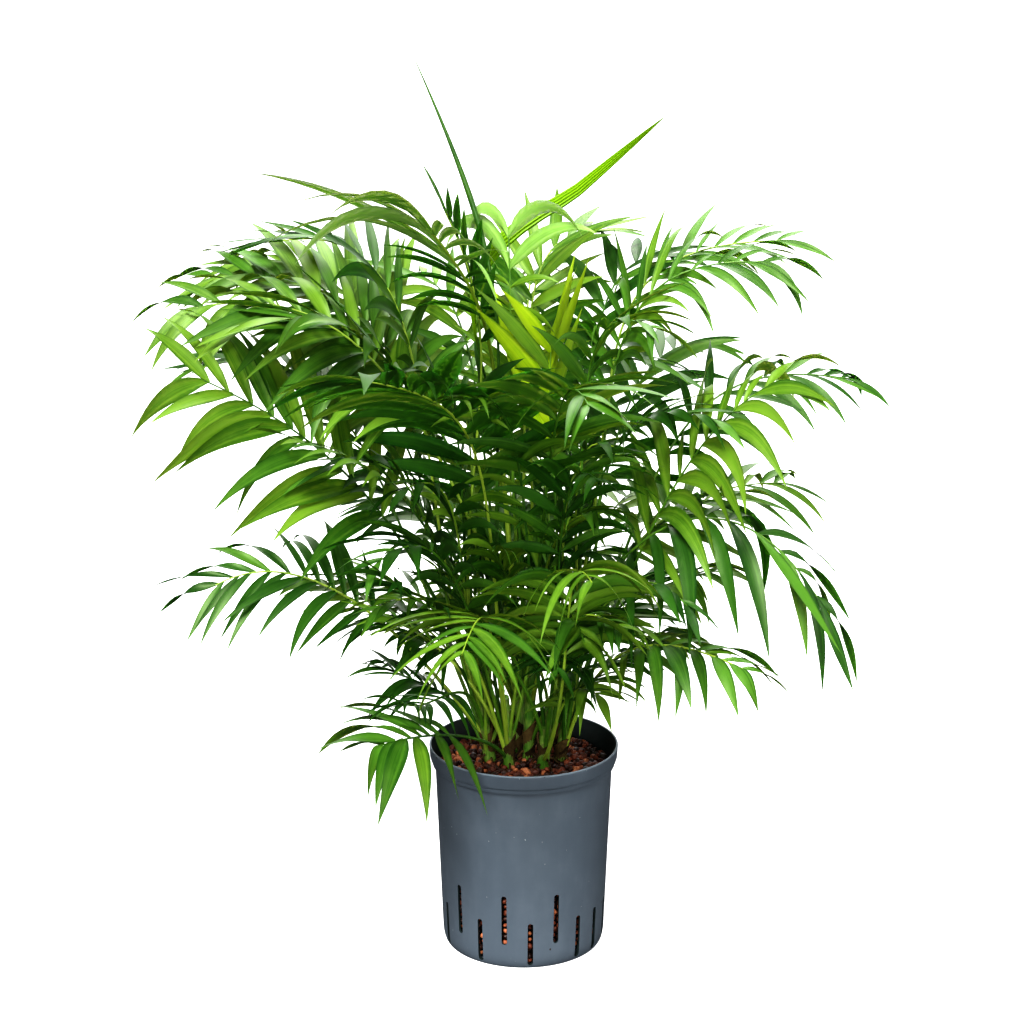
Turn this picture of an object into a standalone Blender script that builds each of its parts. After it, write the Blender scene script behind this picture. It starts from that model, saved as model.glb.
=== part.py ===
"""A parlour palm: short green canes and arching fronds in a slotted pot of clay granulate.

Metres, +Z up. The pot stands on the floor with the middle of its underside at the origin, and the
plant's front faces -Y. Bearings are degrees from +X towards +Y. Each frond is one thin solid: a
three-sided rib with its leaflets grown on at both sides. Ribs and leaflets are worked out from the
sizes below by one rule, and a leaflet that finds no clear way beside its neighbours is left out.
"""

import itertools
import math
import random
from collections import namedtuple

import bmesh
import bpy
import numpy as np
from mathutils.bvhtree import BVHTree

UP = np.array((0.0, 0.0, 1.0))
GAP = 0.0003  # between neighbouring solids
TEST_GAP = 0.00025  # by how much a new piece is fattened while it is tried for room

# Pot
POT_HEIGHT = 0.190
LIP_RADIUS = 0.0862
LIP_FOOT = 0.177
COLLAR_RADIUS = 0.0835
COLLAR_FOOT = 0.172
BODY_TOP_RADIUS = 0.0808
BASE_RADIUS = 0.0742  # where the straight wall would meet the floor
FOOT_RADIUS = 0.0710  # where its rounded foot does
FOOT_BULGE = (0.0731, 0.005)  # radius and height between the two
FOOT_ROUNDING = 0.016
STEP = 0.001  # height of each step in the wall
WALL = 0.0020
FLOOR = 0.0020
SIDES = 40

# Slots round the foot of the pot, a low one and a high one in turn, but for one
SLOTS = 20
FIRST_SLOT_BEARING = -157.5
LOW_OUT_OF_TURN = 7
SLOT_WIDTH = 0.005
LOW_SLOT = (0.0035, 0.045)  # lower and upper end
HIGH_SLOT = (0.0235, 0.0715)
CUTTER_INSIDE = 0.012  # how far a slot's cutter reaches in from the foot and out from the top
CUTTER_OUTSIDE = 0.008

# Granulate in the pot
SOIL_TOP = 0.172

# Canes: bearing and distance of the foot from the clump's middle, height above the granulate, lean
CLUMP_MIDDLE = np.array((0.0, 0.010, 0.0))
CLUMP_RADIUS = 0.033
CANES = (
    (-120, 0.026, 0.070, 6),
    (-55, 0.030, 0.060, 7),
    (-12, 0.034, 0.075, 8),
    (40, 0.032, 0.085, 7),
    (95, 0.034, 0.080, 7),
    (150, 0.032, 0.090, 7),
    (-163, 0.032, 0.075, 8),
    (-45, 0.006, 0.130, 2),
    (105, 0.013, 0.120, 2),
)
CANE_FOOT_RADIUS = 0.0050
CANE_FLARE = 0.012  # height of the thicker foot
CANE_RADIUS = 0.0039
CANE_TAPER = ((0.45, 0.97), (0.80, 0.93))  # shares of its height, and of that radius there
CANE_TIP_RADIUS = 0.0032
CANE_SIDES = 12
FRONDS_SPREAD_COST = 0.012  # how much further a frond reaches for a cane that carries one less
CANES_TRIED = 3
LOWEST_FOOT = 0.15  # of a frond on its cane, as a share of the cane's height
HIGHEST_FOOT = 0.97
FROND_HEIGHTS = (0.24, 0.68)  # of the fronds with the lowest and the highest foot

# Ribs
RIB_FOOT_RADIUS = 0.0020
RIB_MIDDLE_RADIUS = 0.0012
RIB_TIP_RADIUS = 0.0006
RIB_KEEL = 1.3  # depth of the keel under the rib, in rib radii
START_PULL = 0.50  # how far each end's direction carries, as a share of the span
END_PULL = 0.38
LEAST_LEAN = 3.0  # degrees from upright at the foot
LEVEL_LEAN = 14.5  # of a frond with no reach and no height
LEAN_BY_REACH = 60.0  # degrees for each metre
LEAN_BY_HEIGHT = -15.0
ROLL_SHARES = (0.10, 0.45)  # of the rib's length, where the roll starts and where it is complete
PATH_STEPS = 160
FRAME_STEP = 0.002  # to each side, to take the rib's direction
LEAFY_SHARE = 0.5  # of the rib's length
PETIOLE_STEPS = 5
PAIR_SPACING = 0.021
FEWEST_PAIRS = 6
MOST_PAIRS = 10
LEAF_ROOT = 0.006  # of each leaflet, along the rib

# Leaflets
LEAF_WIDTH_SHARE = 0.175
LEAF_THICKNESS = 0.0012
THICKNESS_SHARE = 0.012  # of the length, where that is more
TIP_SPREAD = 28.0  # degrees between the rib and its last leaflets
LEAF_STEPS = 20
DROOP_POWER = 1.2  # of the share of the leaflet's length, by which its droop grows
LONGEST_SHARE = 0.38  # of the leafy part, where the leaflets are longest
LENGTH_FALL = 0.9  # how fast they get shorter from there
WIDEST_SHARE = 0.45  # of a leaflet's length
ROOT_SHARE = 0.02  # the part of a leaflet that is left out of the test for room
LIFT = 0.15  # of the leaflets above the plane of the rib, as a slope

# A frond: where the end of its rib lies, its dip below the horizontal there, the length and droop of
# its leaflets, the angle of the first ones to the rib, the roll of the blade about the rib, how much
# further than others it leans at its foot, how much wider than others it arches, and how many pairs
# of leaflets it has at most, counted from its end
Frond = namedtuple("Frond", "bearing reach height nod leaf droop spread roll lean arch pairs")
USUAL_FROND = {
    "nod": 12,
    "leaf": 0.09,
    "droop": 0.7,
    "spread": 62,
    "roll": 0,
    "lean": 0,
    "arch": 1.0,
    "pairs": MOST_PAIRS,
}


def frond(bearing, reach, height, **changes):
    """A frond like most of them, but for the changes."""
    return Frond(bearing, reach, height, **{**USUAL_FROND, **changes})


RIGHT_FRONDS = (
    frond(12, 0.236, 0.642, nod=0, leaf=0.08, roll=20, lean=-4, arch=1.26),
    frond(-6, 0.208, 0.633, nod=2, leaf=0.10, droop=1.3, roll=25, lean=-6, arch=1.12),
    frond(15, 0.306, 0.512, leaf=0.085, droop=0.9, roll=25, lean=-6, arch=1.2),
    frond(-16, 0.218, 0.535, nod=-30, leaf=0.12, droop=2.0, roll=35, arch=0.7),
    frond(31, 0.289, 0.397, nod=7, leaf=0.10, droop=1.1, roll=20, lean=-9, arch=1.04),
    frond(-15, 0.263, 0.347, nod=58, leaf=0.14, droop=2.2, spread=55, roll=15, lean=-18, arch=1.5),
    frond(-33, 0.222, 0.301, leaf=0.07, droop=1.9, roll=15, lean=-8, arch=1.1),
    frond(-47, 0.095, 0.260, nod=15, leaf=0.075, droop=1.3),
    frond(46, 0.165, 0.280, nod=35, leaf=0.08, droop=0.8),
)
FRONT_FRONDS = (
    frond(-75, 0.207, 0.401, nod=5, leaf=0.10, droop=1.6, lean=30, arch=1.2),
    frond(-103, 0.226, 0.347, nod=15, leaf=0.115, droop=1.0, lean=5, arch=1.2),
    frond(-72, 0.160, 0.335, nod=30, leaf=0.07, droop=1.3),
    frond(-76, 0.205, 0.545, nod=15, leaf=0.105),
    frond(-122, 0.235, 0.565, nod=-15, leaf=0.13, droop=0.8, roll=15, lean=-13, arch=1.28),
    frond(-136, 0.170, 0.395, nod=25, droop=0.9),
    frond(-44, 0.145, 0.590, nod=10, leaf=0.085, droop=1.0),
    frond(-31, 0.095, 0.475, leaf=0.085, droop=1.0),
    frond(-63, 0.135, 0.465, nod=10, leaf=0.085, droop=0.9),
)
LEFT_FRONDS = (
    frond(-134, 0.177, 0.235, nod=0, leaf=0.088, droop=1.4, spread=68, roll=-20, lean=19, arch=0.63),
    frond(-169, 0.274, 0.355, nod=27, leaf=0.095, droop=1.1, roll=-40, lean=8, arch=0.85),
    frond(-168, 0.278, 0.538, nod=-28, leaf=0.125, droop=0.8, spread=50, roll=-50, arch=0.93),
    frond(180, 0.285, 0.590, leaf=0.115, droop=1.2, roll=-35),
    frond(165, 0.290, 0.605, nod=10, leaf=0.11, droop=0.8, roll=-30),
    frond(149, 0.285, 0.610, nod=4, leaf=0.13, droop=0.9, spread=50, roll=-10),
    frond(-168, 0.240, 0.580, nod=15, leaf=0.11),
    frond(165, 0.225, 0.640, leaf=0.10, droop=0.6),
    frond(161, 0.305, 0.520, nod=18, droop=0.6),
    frond(-167, 0.175, 0.455, nod=20, droop=0.8),
    frond(160, 0.145, 0.285, nod=35, leaf=0.08, droop=0.8),
    frond(135, 0.170, 0.385, nod=20, leaf=0.08),
)
TOP_FRONDS = (
    frond(-122, 0.141, 0.670, nod=-30, leaf=0.15, droop=1.2, spread=75, lean=-13, arch=1.28, pairs=7),
    frond(-163, 0.070, 0.675, nod=-60, leaf=0.085, droop=0.3),
    frond(-52, 0.038, 0.567, nod=-80, leaf=0.11, droop=0.05, spread=26, lean=25, arch=1.1, pairs=4),
    frond(60, 0.140, 0.640, nod=8, droop=0.5),
    frond(-125, 0.024, 0.656, nod=-85, leaf=0.125, droop=1.5, spread=70, lean=12, arch=0.55, pairs=3),
)
SEEN_FRONDS = (*RIGHT_FRONDS, *FRONT_FRONDS, *LEFT_FRONDS, *TOP_FRONDS)
# Tiers of the side that faces away: height and reach of the rib's end, and bearings
BACK_TIERS = (
    (0.610, 0.200, (45, 90, 128)),
    (0.500, 0.270, (50, 78, 104, 138)),
    (0.370, 0.280, (62, 92, 122)),
    (0.530, 0.120, (0, 180)),
)
BACK_SEED = 7
BACK_TURN = 4  # degrees by which each may stand off its tier's bearing
BACK_REACHES = (0.93, 1.07)  # as factors
BACK_RISE = 0.02
BACK_NODS = (10, 24)
BACK_LEAVES = (0.085, 0.105)
BACK_DROOPS = (0.6, 1.1)

# The two leaves that stand up above the crown
SPEAR = frond(180, 0.092, 0.800, nod=-65, lean=-13, arch=1.22, pairs=0)
SPEAR_STEPS = 10
SPEAR_POINT_SHARE = 0.95  # of its length, where it starts to run out to a point
SPEAR_STOPS = (0.0, 0.60, 0.78, 1.0)
SPEAR_RADII = (RIB_FOOT_RADIUS, RIB_MIDDLE_RADIUS, 0.0026, 0.0003)
YOUNG_LEAF = frond(37, 0.050, 0.683, nod=-27, leaf=0.125, droop=0.02, spread=8, lean=-13, arch=1.28, pairs=3)

# Changes tried in turn until a rib or a leaflet has room
FOOT_TURNS = (0, 20, -20, 40, -40, 60, -60, 80, -80, 110, -110)
BOWS = (0.0, 0.02, -0.02, 0.045, -0.045, 0.075, -0.075)
FOOT_CHANGES = (0.0, 0.12, -0.12, 0.25, -0.25, 0.4, -0.4)  # in its height, as a share of the cane
SHIFTS = (0.0, 0.012, -0.012, 0.025, -0.025, 0.04, -0.04)  # of the rib's end to its side
LEAF_TRIES = (  # droop and length as factors, turn towards the rib's end in degrees
    (1.0, 1.0, 0),
    (1.3, 1.0, 0),
    (0.7, 1.0, 0),
    (1.0, 1.0, 8),
    (1.0, 1.0, -8),
    (1.6, 0.95, 5),
    (0.4, 0.95, -5),
    (1.0, 0.8, 10),
    (1.3, 0.7, -10),
    (0.8, 0.6, 0),
)


def material(name, colour, roughness):
    made = bpy.data.materials.new(name)
    made.use_nodes = True
    shader = made.node_tree.nodes["Principled BSDF"]
    shader.inputs["Base Color"].default_value = (*colour, 1.0)
    shader.inputs["Roughness"].default_value = roughness
    shader.inputs["Metallic"].default_value = 0.0
    return made


def add_object(name, mesh, finish):
    made = bpy.data.objects.new(name, mesh)
    bpy.context.scene.collection.objects.link(made)
    mesh.materials.append(finish)
    return made


def unit(vector):
    return vector / np.linalg.norm(vector)


def spot(bearing, distance, height):
    turn = math.radians(bearing)
    return np.array((distance * math.cos(turn), distance * math.sin(turn), height))


# Pot and granulate


def turned(name, profile, finish):
    """A profile that starts and ends on the axis, spun round it in as many flat sides as the pot has."""
    bm = bmesh.new()
    first = math.radians(FIRST_SLOT_BEARING) + math.pi / SIDES
    points = [bm.verts.new((r * math.cos(first), r * math.sin(first), z)) for r, z in profile]
    edges = [bm.edges.new(pair) for pair in zip(points, points[1:])]
    bmesh.ops.spin(
        bm,
        geom=points + edges,
        cent=(0, 0, 0),
        axis=(0, 0, 1),
        angle=2 * math.pi,
        steps=SIDES,
        use_merge=True,
    )
    bmesh.ops.remove_doubles(bm, verts=bm.verts, dist=1e-6)
    bmesh.ops.recalc_face_normals(bm, faces=bm.faces)
    mesh = bpy.data.meshes.new(name)
    bm.to_mesh(mesh)
    bm.free()
    mesh.shade_smooth()
    mesh.set_sharp_from_angle(angle=math.radians(30))
    return add_object(name, mesh, finish)


def body_radius(height):
    return BASE_RADIUS + (BODY_TOP_RADIUS - BASE_RADIUS) * height / COLLAR_FOOT


def slot_places():
    """Bearing and ends of every slot."""
    for number in range(SLOTS):
        is_low = number % 2 == 0 or number == LOW_OUT_OF_TURN
        yield FIRST_SLOT_BEARING + number * 360 / SLOTS, LOW_SLOT if is_low else HIGH_SLOT


def slot_cutters(finish):
    """One box for each slot, across the wall at the middle of a flat side."""
    bm = bmesh.new()
    inner, outer = FOOT_RADIUS - CUTTER_INSIDE, BODY_TOP_RADIUS + CUTTER_OUTSIDE
    for bearing, ends in slot_places():
        turn = math.radians(bearing)
        for vert in bmesh.ops.create_cube(bm, size=1.0)["verts"]:
            across = vert.co.y * SLOT_WIDTH
            out = inner + (vert.co.x + 0.5) * (outer - inner)
            height = ends[0] + (vert.co.z + 0.5) * (ends[1] - ends[0])
            vert.co = (
                out * math.cos(turn) - across * math.sin(turn),
                out * math.sin(turn) + across * math.cos(turn),
                height,
            )
    mesh = bpy.data.meshes.new("slot_cutters")
    bm.to_mesh(mesh)
    bm.free()
    cutters = add_object("slot_cutters", mesh, finish)
    cutters.hide_render = True
    cutters.display_type = "WIRE"
    return cutters


def add_pot():
    finish = material("pot_plastic", (0.075, 0.115, 0.150), 0.55)
    profile = (
        (0.0, 0.0),
        (FOOT_RADIUS, 0.0),
        FOOT_BULGE,
        (body_radius(FOOT_ROUNDING), FOOT_ROUNDING),
        (BODY_TOP_RADIUS, COLLAR_FOOT),
        (COLLAR_RADIUS, COLLAR_FOOT + STEP),
        (COLLAR_RADIUS, LIP_FOOT),
        (LIP_RADIUS, LIP_FOOT + STEP),
        (LIP_RADIUS, POT_HEIGHT),
        (LIP_RADIUS - WALL, POT_HEIGHT),
        (COLLAR_RADIUS - WALL, LIP_FOOT - STEP),
        (BODY_TOP_RADIUS - WALL, COLLAR_FOOT - STEP),
        (body_radius(FOOT_ROUNDING) - WALL, FOOT_ROUNDING),
        (FOOT_RADIUS - WALL, FLOOR),
        (0.0, FLOOR),
    )
    pot = turned("pot", profile, finish)
    cut = pot.modifiers.new("slots", "BOOLEAN")
    cut.object = slot_cutters(finish)
    cut.operation = "DIFFERENCE"
    cut.solver = "EXACT"
    return pot


def add_granulate():
    clearance = WALL + GAP
    profile = (
        (0.0, FLOOR + GAP),
        (FOOT_RADIUS - clearance, FLOOR + GAP),
        (body_radius(FOOT_ROUNDING) - clearance, FOOT_ROUNDING),
        (BODY_TOP_RADIUS - clearance, COLLAR_FOOT - STEP),
        (BODY_TOP_RADIUS - clearance, SOIL_TOP),
        (0.0, SOIL_TOP),
    )
    return turned("granulate", profile, material("clay_granulate", (0.20, 0.065, 0.035), 0.9))


# Canes


def cane_axis(cane, height):
    """Centre of a cane at a height above the granulate."""
    bearing, distance, _, lean = cane
    out = distance + height * math.tan(math.radians(lean))
    return CLUMP_MIDDLE + spot(bearing, out, SOIL_TOP + height)


def cane_stops(cane):
    """Heights between which a cane tapers evenly: its flared foot, its long middle and its tip."""
    return 0.0, CANE_FLARE, *(share * cane[2] for share, _ in CANE_TAPER), cane[2]


def cane_radius(cane, height):
    middle = (part * CANE_RADIUS for _, part in CANE_TAPER)
    radii = (CANE_FOOT_RADIUS, CANE_RADIUS, *middle, CANE_TIP_RADIUS)
    return float(np.interp(height, cane_stops(cane), radii))


def add_cane(number, cane, finish):
    """A tapered tube with flat ends, its rings level, from just above the granulate."""
    heights = (GAP, *cane_stops(cane)[1:])
    turns = [2 * math.pi * side / CANE_SIDES for side in range(CANE_SIDES)]
    bm = bmesh.new()
    rings = []
    for height in heights:
        middle, radius = cane_axis(cane, height), cane_radius(cane, height)
        ring = [middle + radius * np.array((math.cos(turn), math.sin(turn), 0.0)) for turn in turns]
        rings.append([bm.verts.new(point) for point in ring])
    for low, high in zip(rings, rings[1:]):
        for side in range(CANE_SIDES):
            after = (side + 1) % CANE_SIDES
            bm.faces.new((low[side], low[after], high[after], high[side]))
    bm.faces.new(rings[0][::-1])
    bm.faces.new(rings[-1])
    mesh = bpy.data.meshes.new(f"cane_{number}")
    bm.to_mesh(mesh)
    bm.free()
    mesh.shade_smooth()
    mesh.set_sharp_from_angle(angle=math.radians(50))
    return add_object(mesh.name, mesh, finish)


# Room between the pieces


class Room:
    """The surfaces placed so far, to try a new piece against."""

    def __init__(self):
        self.taken = []

    def add(self, points, faces, rib=None):
        points = np.asarray(points)
        tree = BVHTree.FromPolygons(points.tolist(), faces)
        self.taken.append((points.min(axis=0), points.max(axis=0), tree, rib))

    def is_clear(self, points, faces, own_rib=None):
        """Whether nothing placed so far is in the way, apart from the rib that a leaflet grows on."""
        points = np.asarray(points)
        low, high = points.min(axis=0), points.max(axis=0)
        tree = BVHTree.FromPolygons(points.tolist(), faces)
        for other_low, other_high, other, rib in self.taken:
            if (low > other_high).any() or (high < other_low).any() or (rib and rib is own_rib):
                continue
            if tree.overlap(other):
                return False
        return True


def add_object_to_room(room, made):
    room.add([tuple(v.co) for v in made.data.vertices], [tuple(p.vertices) for p in made.data.polygons])


# Ribs


def rib_curve(row, foot, bow, shift):
    """Control points of the rib, from its foot to its end."""
    tip = spot(row.bearing, row.reach, row.height)
    aside = np.cross(UP, unit((tip - foot) * (1, 1, 0)))
    tip = tip + shift * aside
    out = unit((tip - foot) * (1, 1, 0))
    lean = LEVEL_LEAN + LEAN_BY_REACH * row.reach + LEAN_BY_HEIGHT * row.height
    lean = math.radians(max(LEAST_LEAN, lean + row.lean))
    nod = math.radians(row.nod)
    span = np.linalg.norm(tip - foot) * row.arch
    start = foot + (math.sin(lean) * out + math.cos(lean) * UP) * span * START_PULL + aside * bow
    end = tip - (math.cos(nod) * out - math.sin(nod) * UP) * span * END_PULL + aside * bow
    return np.array((foot, start, end, tip))


class Rib:
    """Places, directions and radii along a rib, by the distance from its foot."""

    def __init__(self, row, foot, bow=0.0, shift=0.0):
        t = np.linspace(0, 1, PATH_STEPS + 1)[:, None]
        a, b, c, d = rib_curve(row, foot, bow, shift)
        self.row = row
        self.path = (1 - t) ** 3 * a + 3 * (1 - t) ** 2 * t * b + 3 * (1 - t) * t**2 * c + t**3 * d
        steps = np.linalg.norm(np.diff(self.path, axis=0), axis=1)
        self.run = np.concatenate(((0.0,), np.cumsum(steps)))
        self.length = float(self.run[-1])
        self.pairs = self.pair_places()
        self.stops = self.ring_places()

    def place(self, distance):
        return np.array([np.interp(distance, self.run, self.path[:, axis]) for axis in range(3)])

    def frame(self, distance):
        """Direction of the rib, the way to its left side and the way up from its upper face."""
        ahead = unit(self.place(distance + FRAME_STEP) - self.place(distance - FRAME_STEP))
        turn = math.radians(self.row.bearing)
        flat = np.array((-math.sin(turn), math.cos(turn), 0.0))
        left = unit(flat - (flat @ ahead) * ahead)
        over = np.cross(ahead, left)
        roll = math.radians(float(np.interp(distance / self.length, ROLL_SHARES, (0.0, self.row.roll))))
        return (
            ahead,
            left * math.cos(roll) + over * math.sin(roll),
            over * math.cos(roll) - left * math.sin(roll),
        )

    def radius(self, distance):
        stops = (0.0, 1.0 - LEAFY_SHARE, 1.0)
        radii = (RIB_FOOT_RADIUS, RIB_MIDDLE_RADIUS, RIB_TIP_RADIUS)
        if self.row is SPEAR:
            stops, radii = SPEAR_STOPS, SPEAR_RADII
        return float(np.interp(distance / self.length, stops, radii))

    def ring(self, distance, fatter=0.0):
        """Left, right and keel corner of the rib's section."""
        _, left, over = self.frame(distance)
        middle, radius = self.place(distance) + fatter * over, self.radius(distance) + fatter
        keel = middle - (RIB_KEEL * radius + fatter) * over
        return middle + radius * left, middle - radius * left, keel

    def pair_places(self):
        """Where the pairs of leaflets stand."""
        leafy = self.length * LEAFY_SHARE
        count = max(FEWEST_PAIRS, min(MOST_PAIRS, round(leafy / PAIR_SPACING)))
        places = np.linspace(self.length - leafy, self.length - LEAF_ROOT, count)
        return places[max(0, count - self.row.pairs) :]

    def ring_places(self):
        """Where the rib's sections lie: along the bare part, then two at each pair."""
        bare = self.pairs[0] - LEAF_ROOT if len(self.pairs) else self.length * SPEAR_POINT_SHARE
        steps = PETIOLE_STEPS if len(self.pairs) else SPEAR_STEPS
        roots = [place + side * LEAF_ROOT / 2 for place in self.pairs for side in (-1, 1)]
        return [*np.linspace(0, bare, steps + 1), *roots]

    def root(self, pair, sign):
        """The side of the rib that a leaflet grows out of, in the order of that side's face."""
        first = len(self.stops) - 2 * len(self.pairs) + 2 * pair
        near, far = self.ring(self.stops[first]), self.ring(self.stops[first + 1])
        if sign > 0:
            return near[0], far[0], far[2], near[2]
        return far[1], near[1], near[2], far[2]


def tube_faces(rings):
    """Faces of a three-sided tube with a closed foot, drawn to a point past its last ring."""
    faces = [(1, 0, 2)]
    for ring in range(rings - 1):
        a, b = 3 * ring, 3 * ring + 3
        faces += [(a + 1, b + 1, b, a), (a, b, b + 2, a + 2), (b + 1, a + 1, a + 2, b + 2)]
    a, tip = 3 * (rings - 1), 3 * rings
    return faces + [(a + 1, tip, a), (a, tip, a + 2), (a + 2, tip, a + 1)]


def rib_shape(rib, fatter=0.0):
    points = [corner for stop in rib.stops for corner in rib.ring(stop, fatter)]
    return points + [rib.place(rib.length)], tube_faces(len(rib.stops))


def canes_for(row, load):
    """The canes nearest to the frond's side of the clump, dearer with each frond they have already."""
    side = spot(row.bearing, min(CLUMP_RADIUS, row.reach / 4), 0)

    def cost(cane):
        return np.linalg.norm(spot(cane[0], cane[1], 0) - side) + FRONDS_SPREAD_COST * load[cane]

    return sorted(CANES, key=cost)[:CANES_TRIED]


def foot_heights(row, cane):
    """The taller a frond, the higher its foot on the cane, as far as there is room."""
    share = LOWEST_FOOT + (HIGHEST_FOOT - LOWEST_FOOT) * (row.height - FROND_HEIGHTS[0]) / (
        FROND_HEIGHTS[1] - FROND_HEIGHTS[0]
    )
    return [cane[2] * min(HIGHEST_FOOT, max(LOWEST_FOOT, share + change)) for change in FOOT_CHANGES]


def foot_on(cane, height, row, turn):
    """A point just clear of the cane's side, towards the frond's tip or turned from there."""
    axis = cane_axis(cane, height)
    way = (spot(row.bearing, row.reach, 0) - axis) * (1, 1, 0)
    bearing = math.degrees(math.atan2(way[1], way[0])) + turn
    return axis + spot(bearing, cane_radius(cane, height) + GAP, 0)


def place_rib(row, load, room):
    """The first try that clears every piece placed so far."""
    canes = canes_for(row, load)
    for shift, bow, cane, turn in itertools.product(SHIFTS, BOWS, canes, FOOT_TURNS):
        for height in foot_heights(row, cane):
            rib = Rib(row, foot_on(cane, height, row, turn), bow, shift)
            if room.is_clear(*rib_shape(rib, TEST_GAP)):
                room.add(*rib_shape(rib), rib)
                load[cane] += 1
                return rib
    raise ValueError(f"no room for the rib with bearing {row.bearing} and height {row.height}")


# Leaflets


def leaf_path(rib, pair, sign, droop, length, turn):
    """The widest place and the tip of a leaflet's middle line, and its direction at the widest place."""
    row, share = rib.row, pair / max(1, len(rib.pairs) - 1)
    ahead, left, over = rib.frame(rib.pairs[pair])
    last = min(TIP_SPREAD, row.spread)
    angle = math.radians(row.spread - (row.spread - last) * share - turn)
    way = unit(math.cos(angle) * ahead + math.sin(angle) * sign * left + LIFT * over)
    along = (np.arange(LEAF_STEPS) + 0.5) / LEAF_STEPS
    ways = way - row.droop * droop * along[:, None] ** DROOP_POWER * UP
    ways /= np.linalg.norm(ways, axis=1)[:, None]
    points = rib.place(rib.pairs[pair]) + np.cumsum(ways, axis=0) * length / LEAF_STEPS
    widest = round(LEAF_STEPS * WIDEST_SHARE)
    return points[widest], points[-1], ways[widest], ahead


def leaf_corners(rib, pair, sign, tries, fatter=0.0):
    """Corners at a leaflet's widest place, in the order of the side it grows out of, and its tip."""
    droop, shorter, turn = tries
    share = pair / max(1, len(rib.pairs) - 1)
    length = rib.row.leaf * (1 - LENGTH_FALL * (share - LONGEST_SHARE) ** 2) * shorter
    middle, tip, way, ahead = leaf_path(rib, pair, sign, droop, length, turn)
    across = sign * unit(ahead - (ahead @ way) * way)
    over = np.cross(across, way)
    half = (length * LEAF_WIDTH_SHARE / 2 + fatter) * across
    keel = middle - (max(LEAF_THICKNESS, THICKNESS_SHARE * length) + fatter) * over
    top = middle + fatter * over
    return top - half, top + half, keel, tip + 2 * fatter * way


def leaf_faces(side_of_rib, first):
    """Faces of a leaflet that takes the place of one side of the rib, its four points from first on."""
    near, far, under, below = side_of_rib
    a, b, keel, tip = range(first, first + 4)
    return [
        (near, far, b, a),
        (far, under, b),
        (under, below, keel),
        (under, keel, b),
        (below, a, keel),
        (below, near, a),
        (a, b, tip),
        (b, keel, tip),
        (keel, a, tip),
    ]


def leaf_shape(root, corners):
    """A leaflet cut off just past its root, as a closed surface of its own, to try for room."""
    a, b, keel, _ = corners
    start = [low + ROOT_SHARE * (high - low) for low, high in zip(root, (a, b, keel, keel))]
    return [*start, *corners], [(3, 2, 1, 0), *leaf_faces((0, 1, 2, 3), 4)]


def place_leaves(rib, room):
    """The leaflets that find room, by pair and side of the rib."""
    placed = {}
    for pair, sign in itertools.product(range(len(rib.pairs)), (1, -1)):
        root = rib.root(pair, sign)
        for tries in LEAF_TRIES:
            fattened = leaf_shape(root, leaf_corners(rib, pair, sign, tries, TEST_GAP))
            if room.is_clear(*fattened, rib):
                placed[pair, sign] = leaf_corners(rib, pair, sign, tries)
                room.add(*leaf_shape(root, placed[pair, sign]))
                break
    return placed


def add_frond(name, rib, room, finish):
    """One closed surface: the rib, with a leaflet in place of its side wherever one was placed."""
    leaves = place_leaves(rib, room)
    points, sides = rib_shape(rib)
    first_ring = len(rib.stops) - 2 * len(rib.pairs)
    faces = []
    for number, face in enumerate(sides):
        ring, kind = divmod(number - 1, 3)
        pair, between = divmod(ring - first_ring, 2)
        sign = {1: 1, 2: -1}.get(kind)
        if between or (pair, sign) not in leaves:
            faces.append(face)
            continue
        faces += leaf_faces(face, len(points))
        points += leaves[pair, sign]
    mesh = bpy.data.meshes.new(name)
    mesh.from_pydata([tuple(point) for point in points], [], faces)
    return add_object(name, mesh, finish)


# The plant


def back_fronds():
    """The fronds of the side that faces away, each a little off its tier's sizes."""
    chance = random.Random(BACK_SEED)
    rows = []
    for height, reach, bearings in BACK_TIERS:
        for bearing in bearings:
            rows.append(
                frond(
                    bearing + chance.uniform(-BACK_TURN, BACK_TURN),
                    reach * chance.uniform(*BACK_REACHES),
                    height + chance.uniform(-BACK_RISE, BACK_RISE),
                    nod=chance.uniform(*BACK_NODS),
                    leaf=chance.uniform(*BACK_LEAVES),
                    droop=chance.uniform(*BACK_DROOPS),
                )
            )
    return rows


def add_fronds(room):
    """Every rib first, the steepest before the others, then the leaflets."""
    finish = material("leaf_green", (0.060, 0.210, 0.025), 0.45)
    numbered = enumerate([*SEEN_FRONDS, *back_fronds()], start=1)
    rows = {f"frond_{number:02d}": row for number, row in numbered}
    rows["spear_leaf"] = SPEAR
    rows["young_leaf"] = YOUNG_LEAF
    load = dict.fromkeys(CANES, 0)
    ribs = {}
    for name in sorted(rows, key=lambda name: rows[name].reach):
        ribs[name] = place_rib(rows[name], load, room)
    for name in rows:
        add_frond(name, ribs[name], room, finish)


def main():
    for old in list(bpy.data.objects):
        bpy.data.objects.remove(old)
    room = Room()
    pot = add_pot()
    granulate = add_granulate()
    cane_green = material("cane_green", (0.150, 0.270, 0.060), 0.5)
    canes = [add_cane(number, cane, cane_green) for number, cane in enumerate(CANES, start=1)]
    for made in (pot, granulate, *canes):
        add_object_to_room(room, made)
    add_fronds(room)


main()
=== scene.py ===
"""The looks of a potted parlour palm: a slotted pot of clay pebbles, ringed canes and fine leaflets.

Metres, +Z up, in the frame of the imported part. The places of ribs and leaflets follow the same rule
as the solids, with more and slimmer leaflets on each rib.
"""

import contextlib
import itertools
import math
import random
from collections import namedtuple

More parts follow.
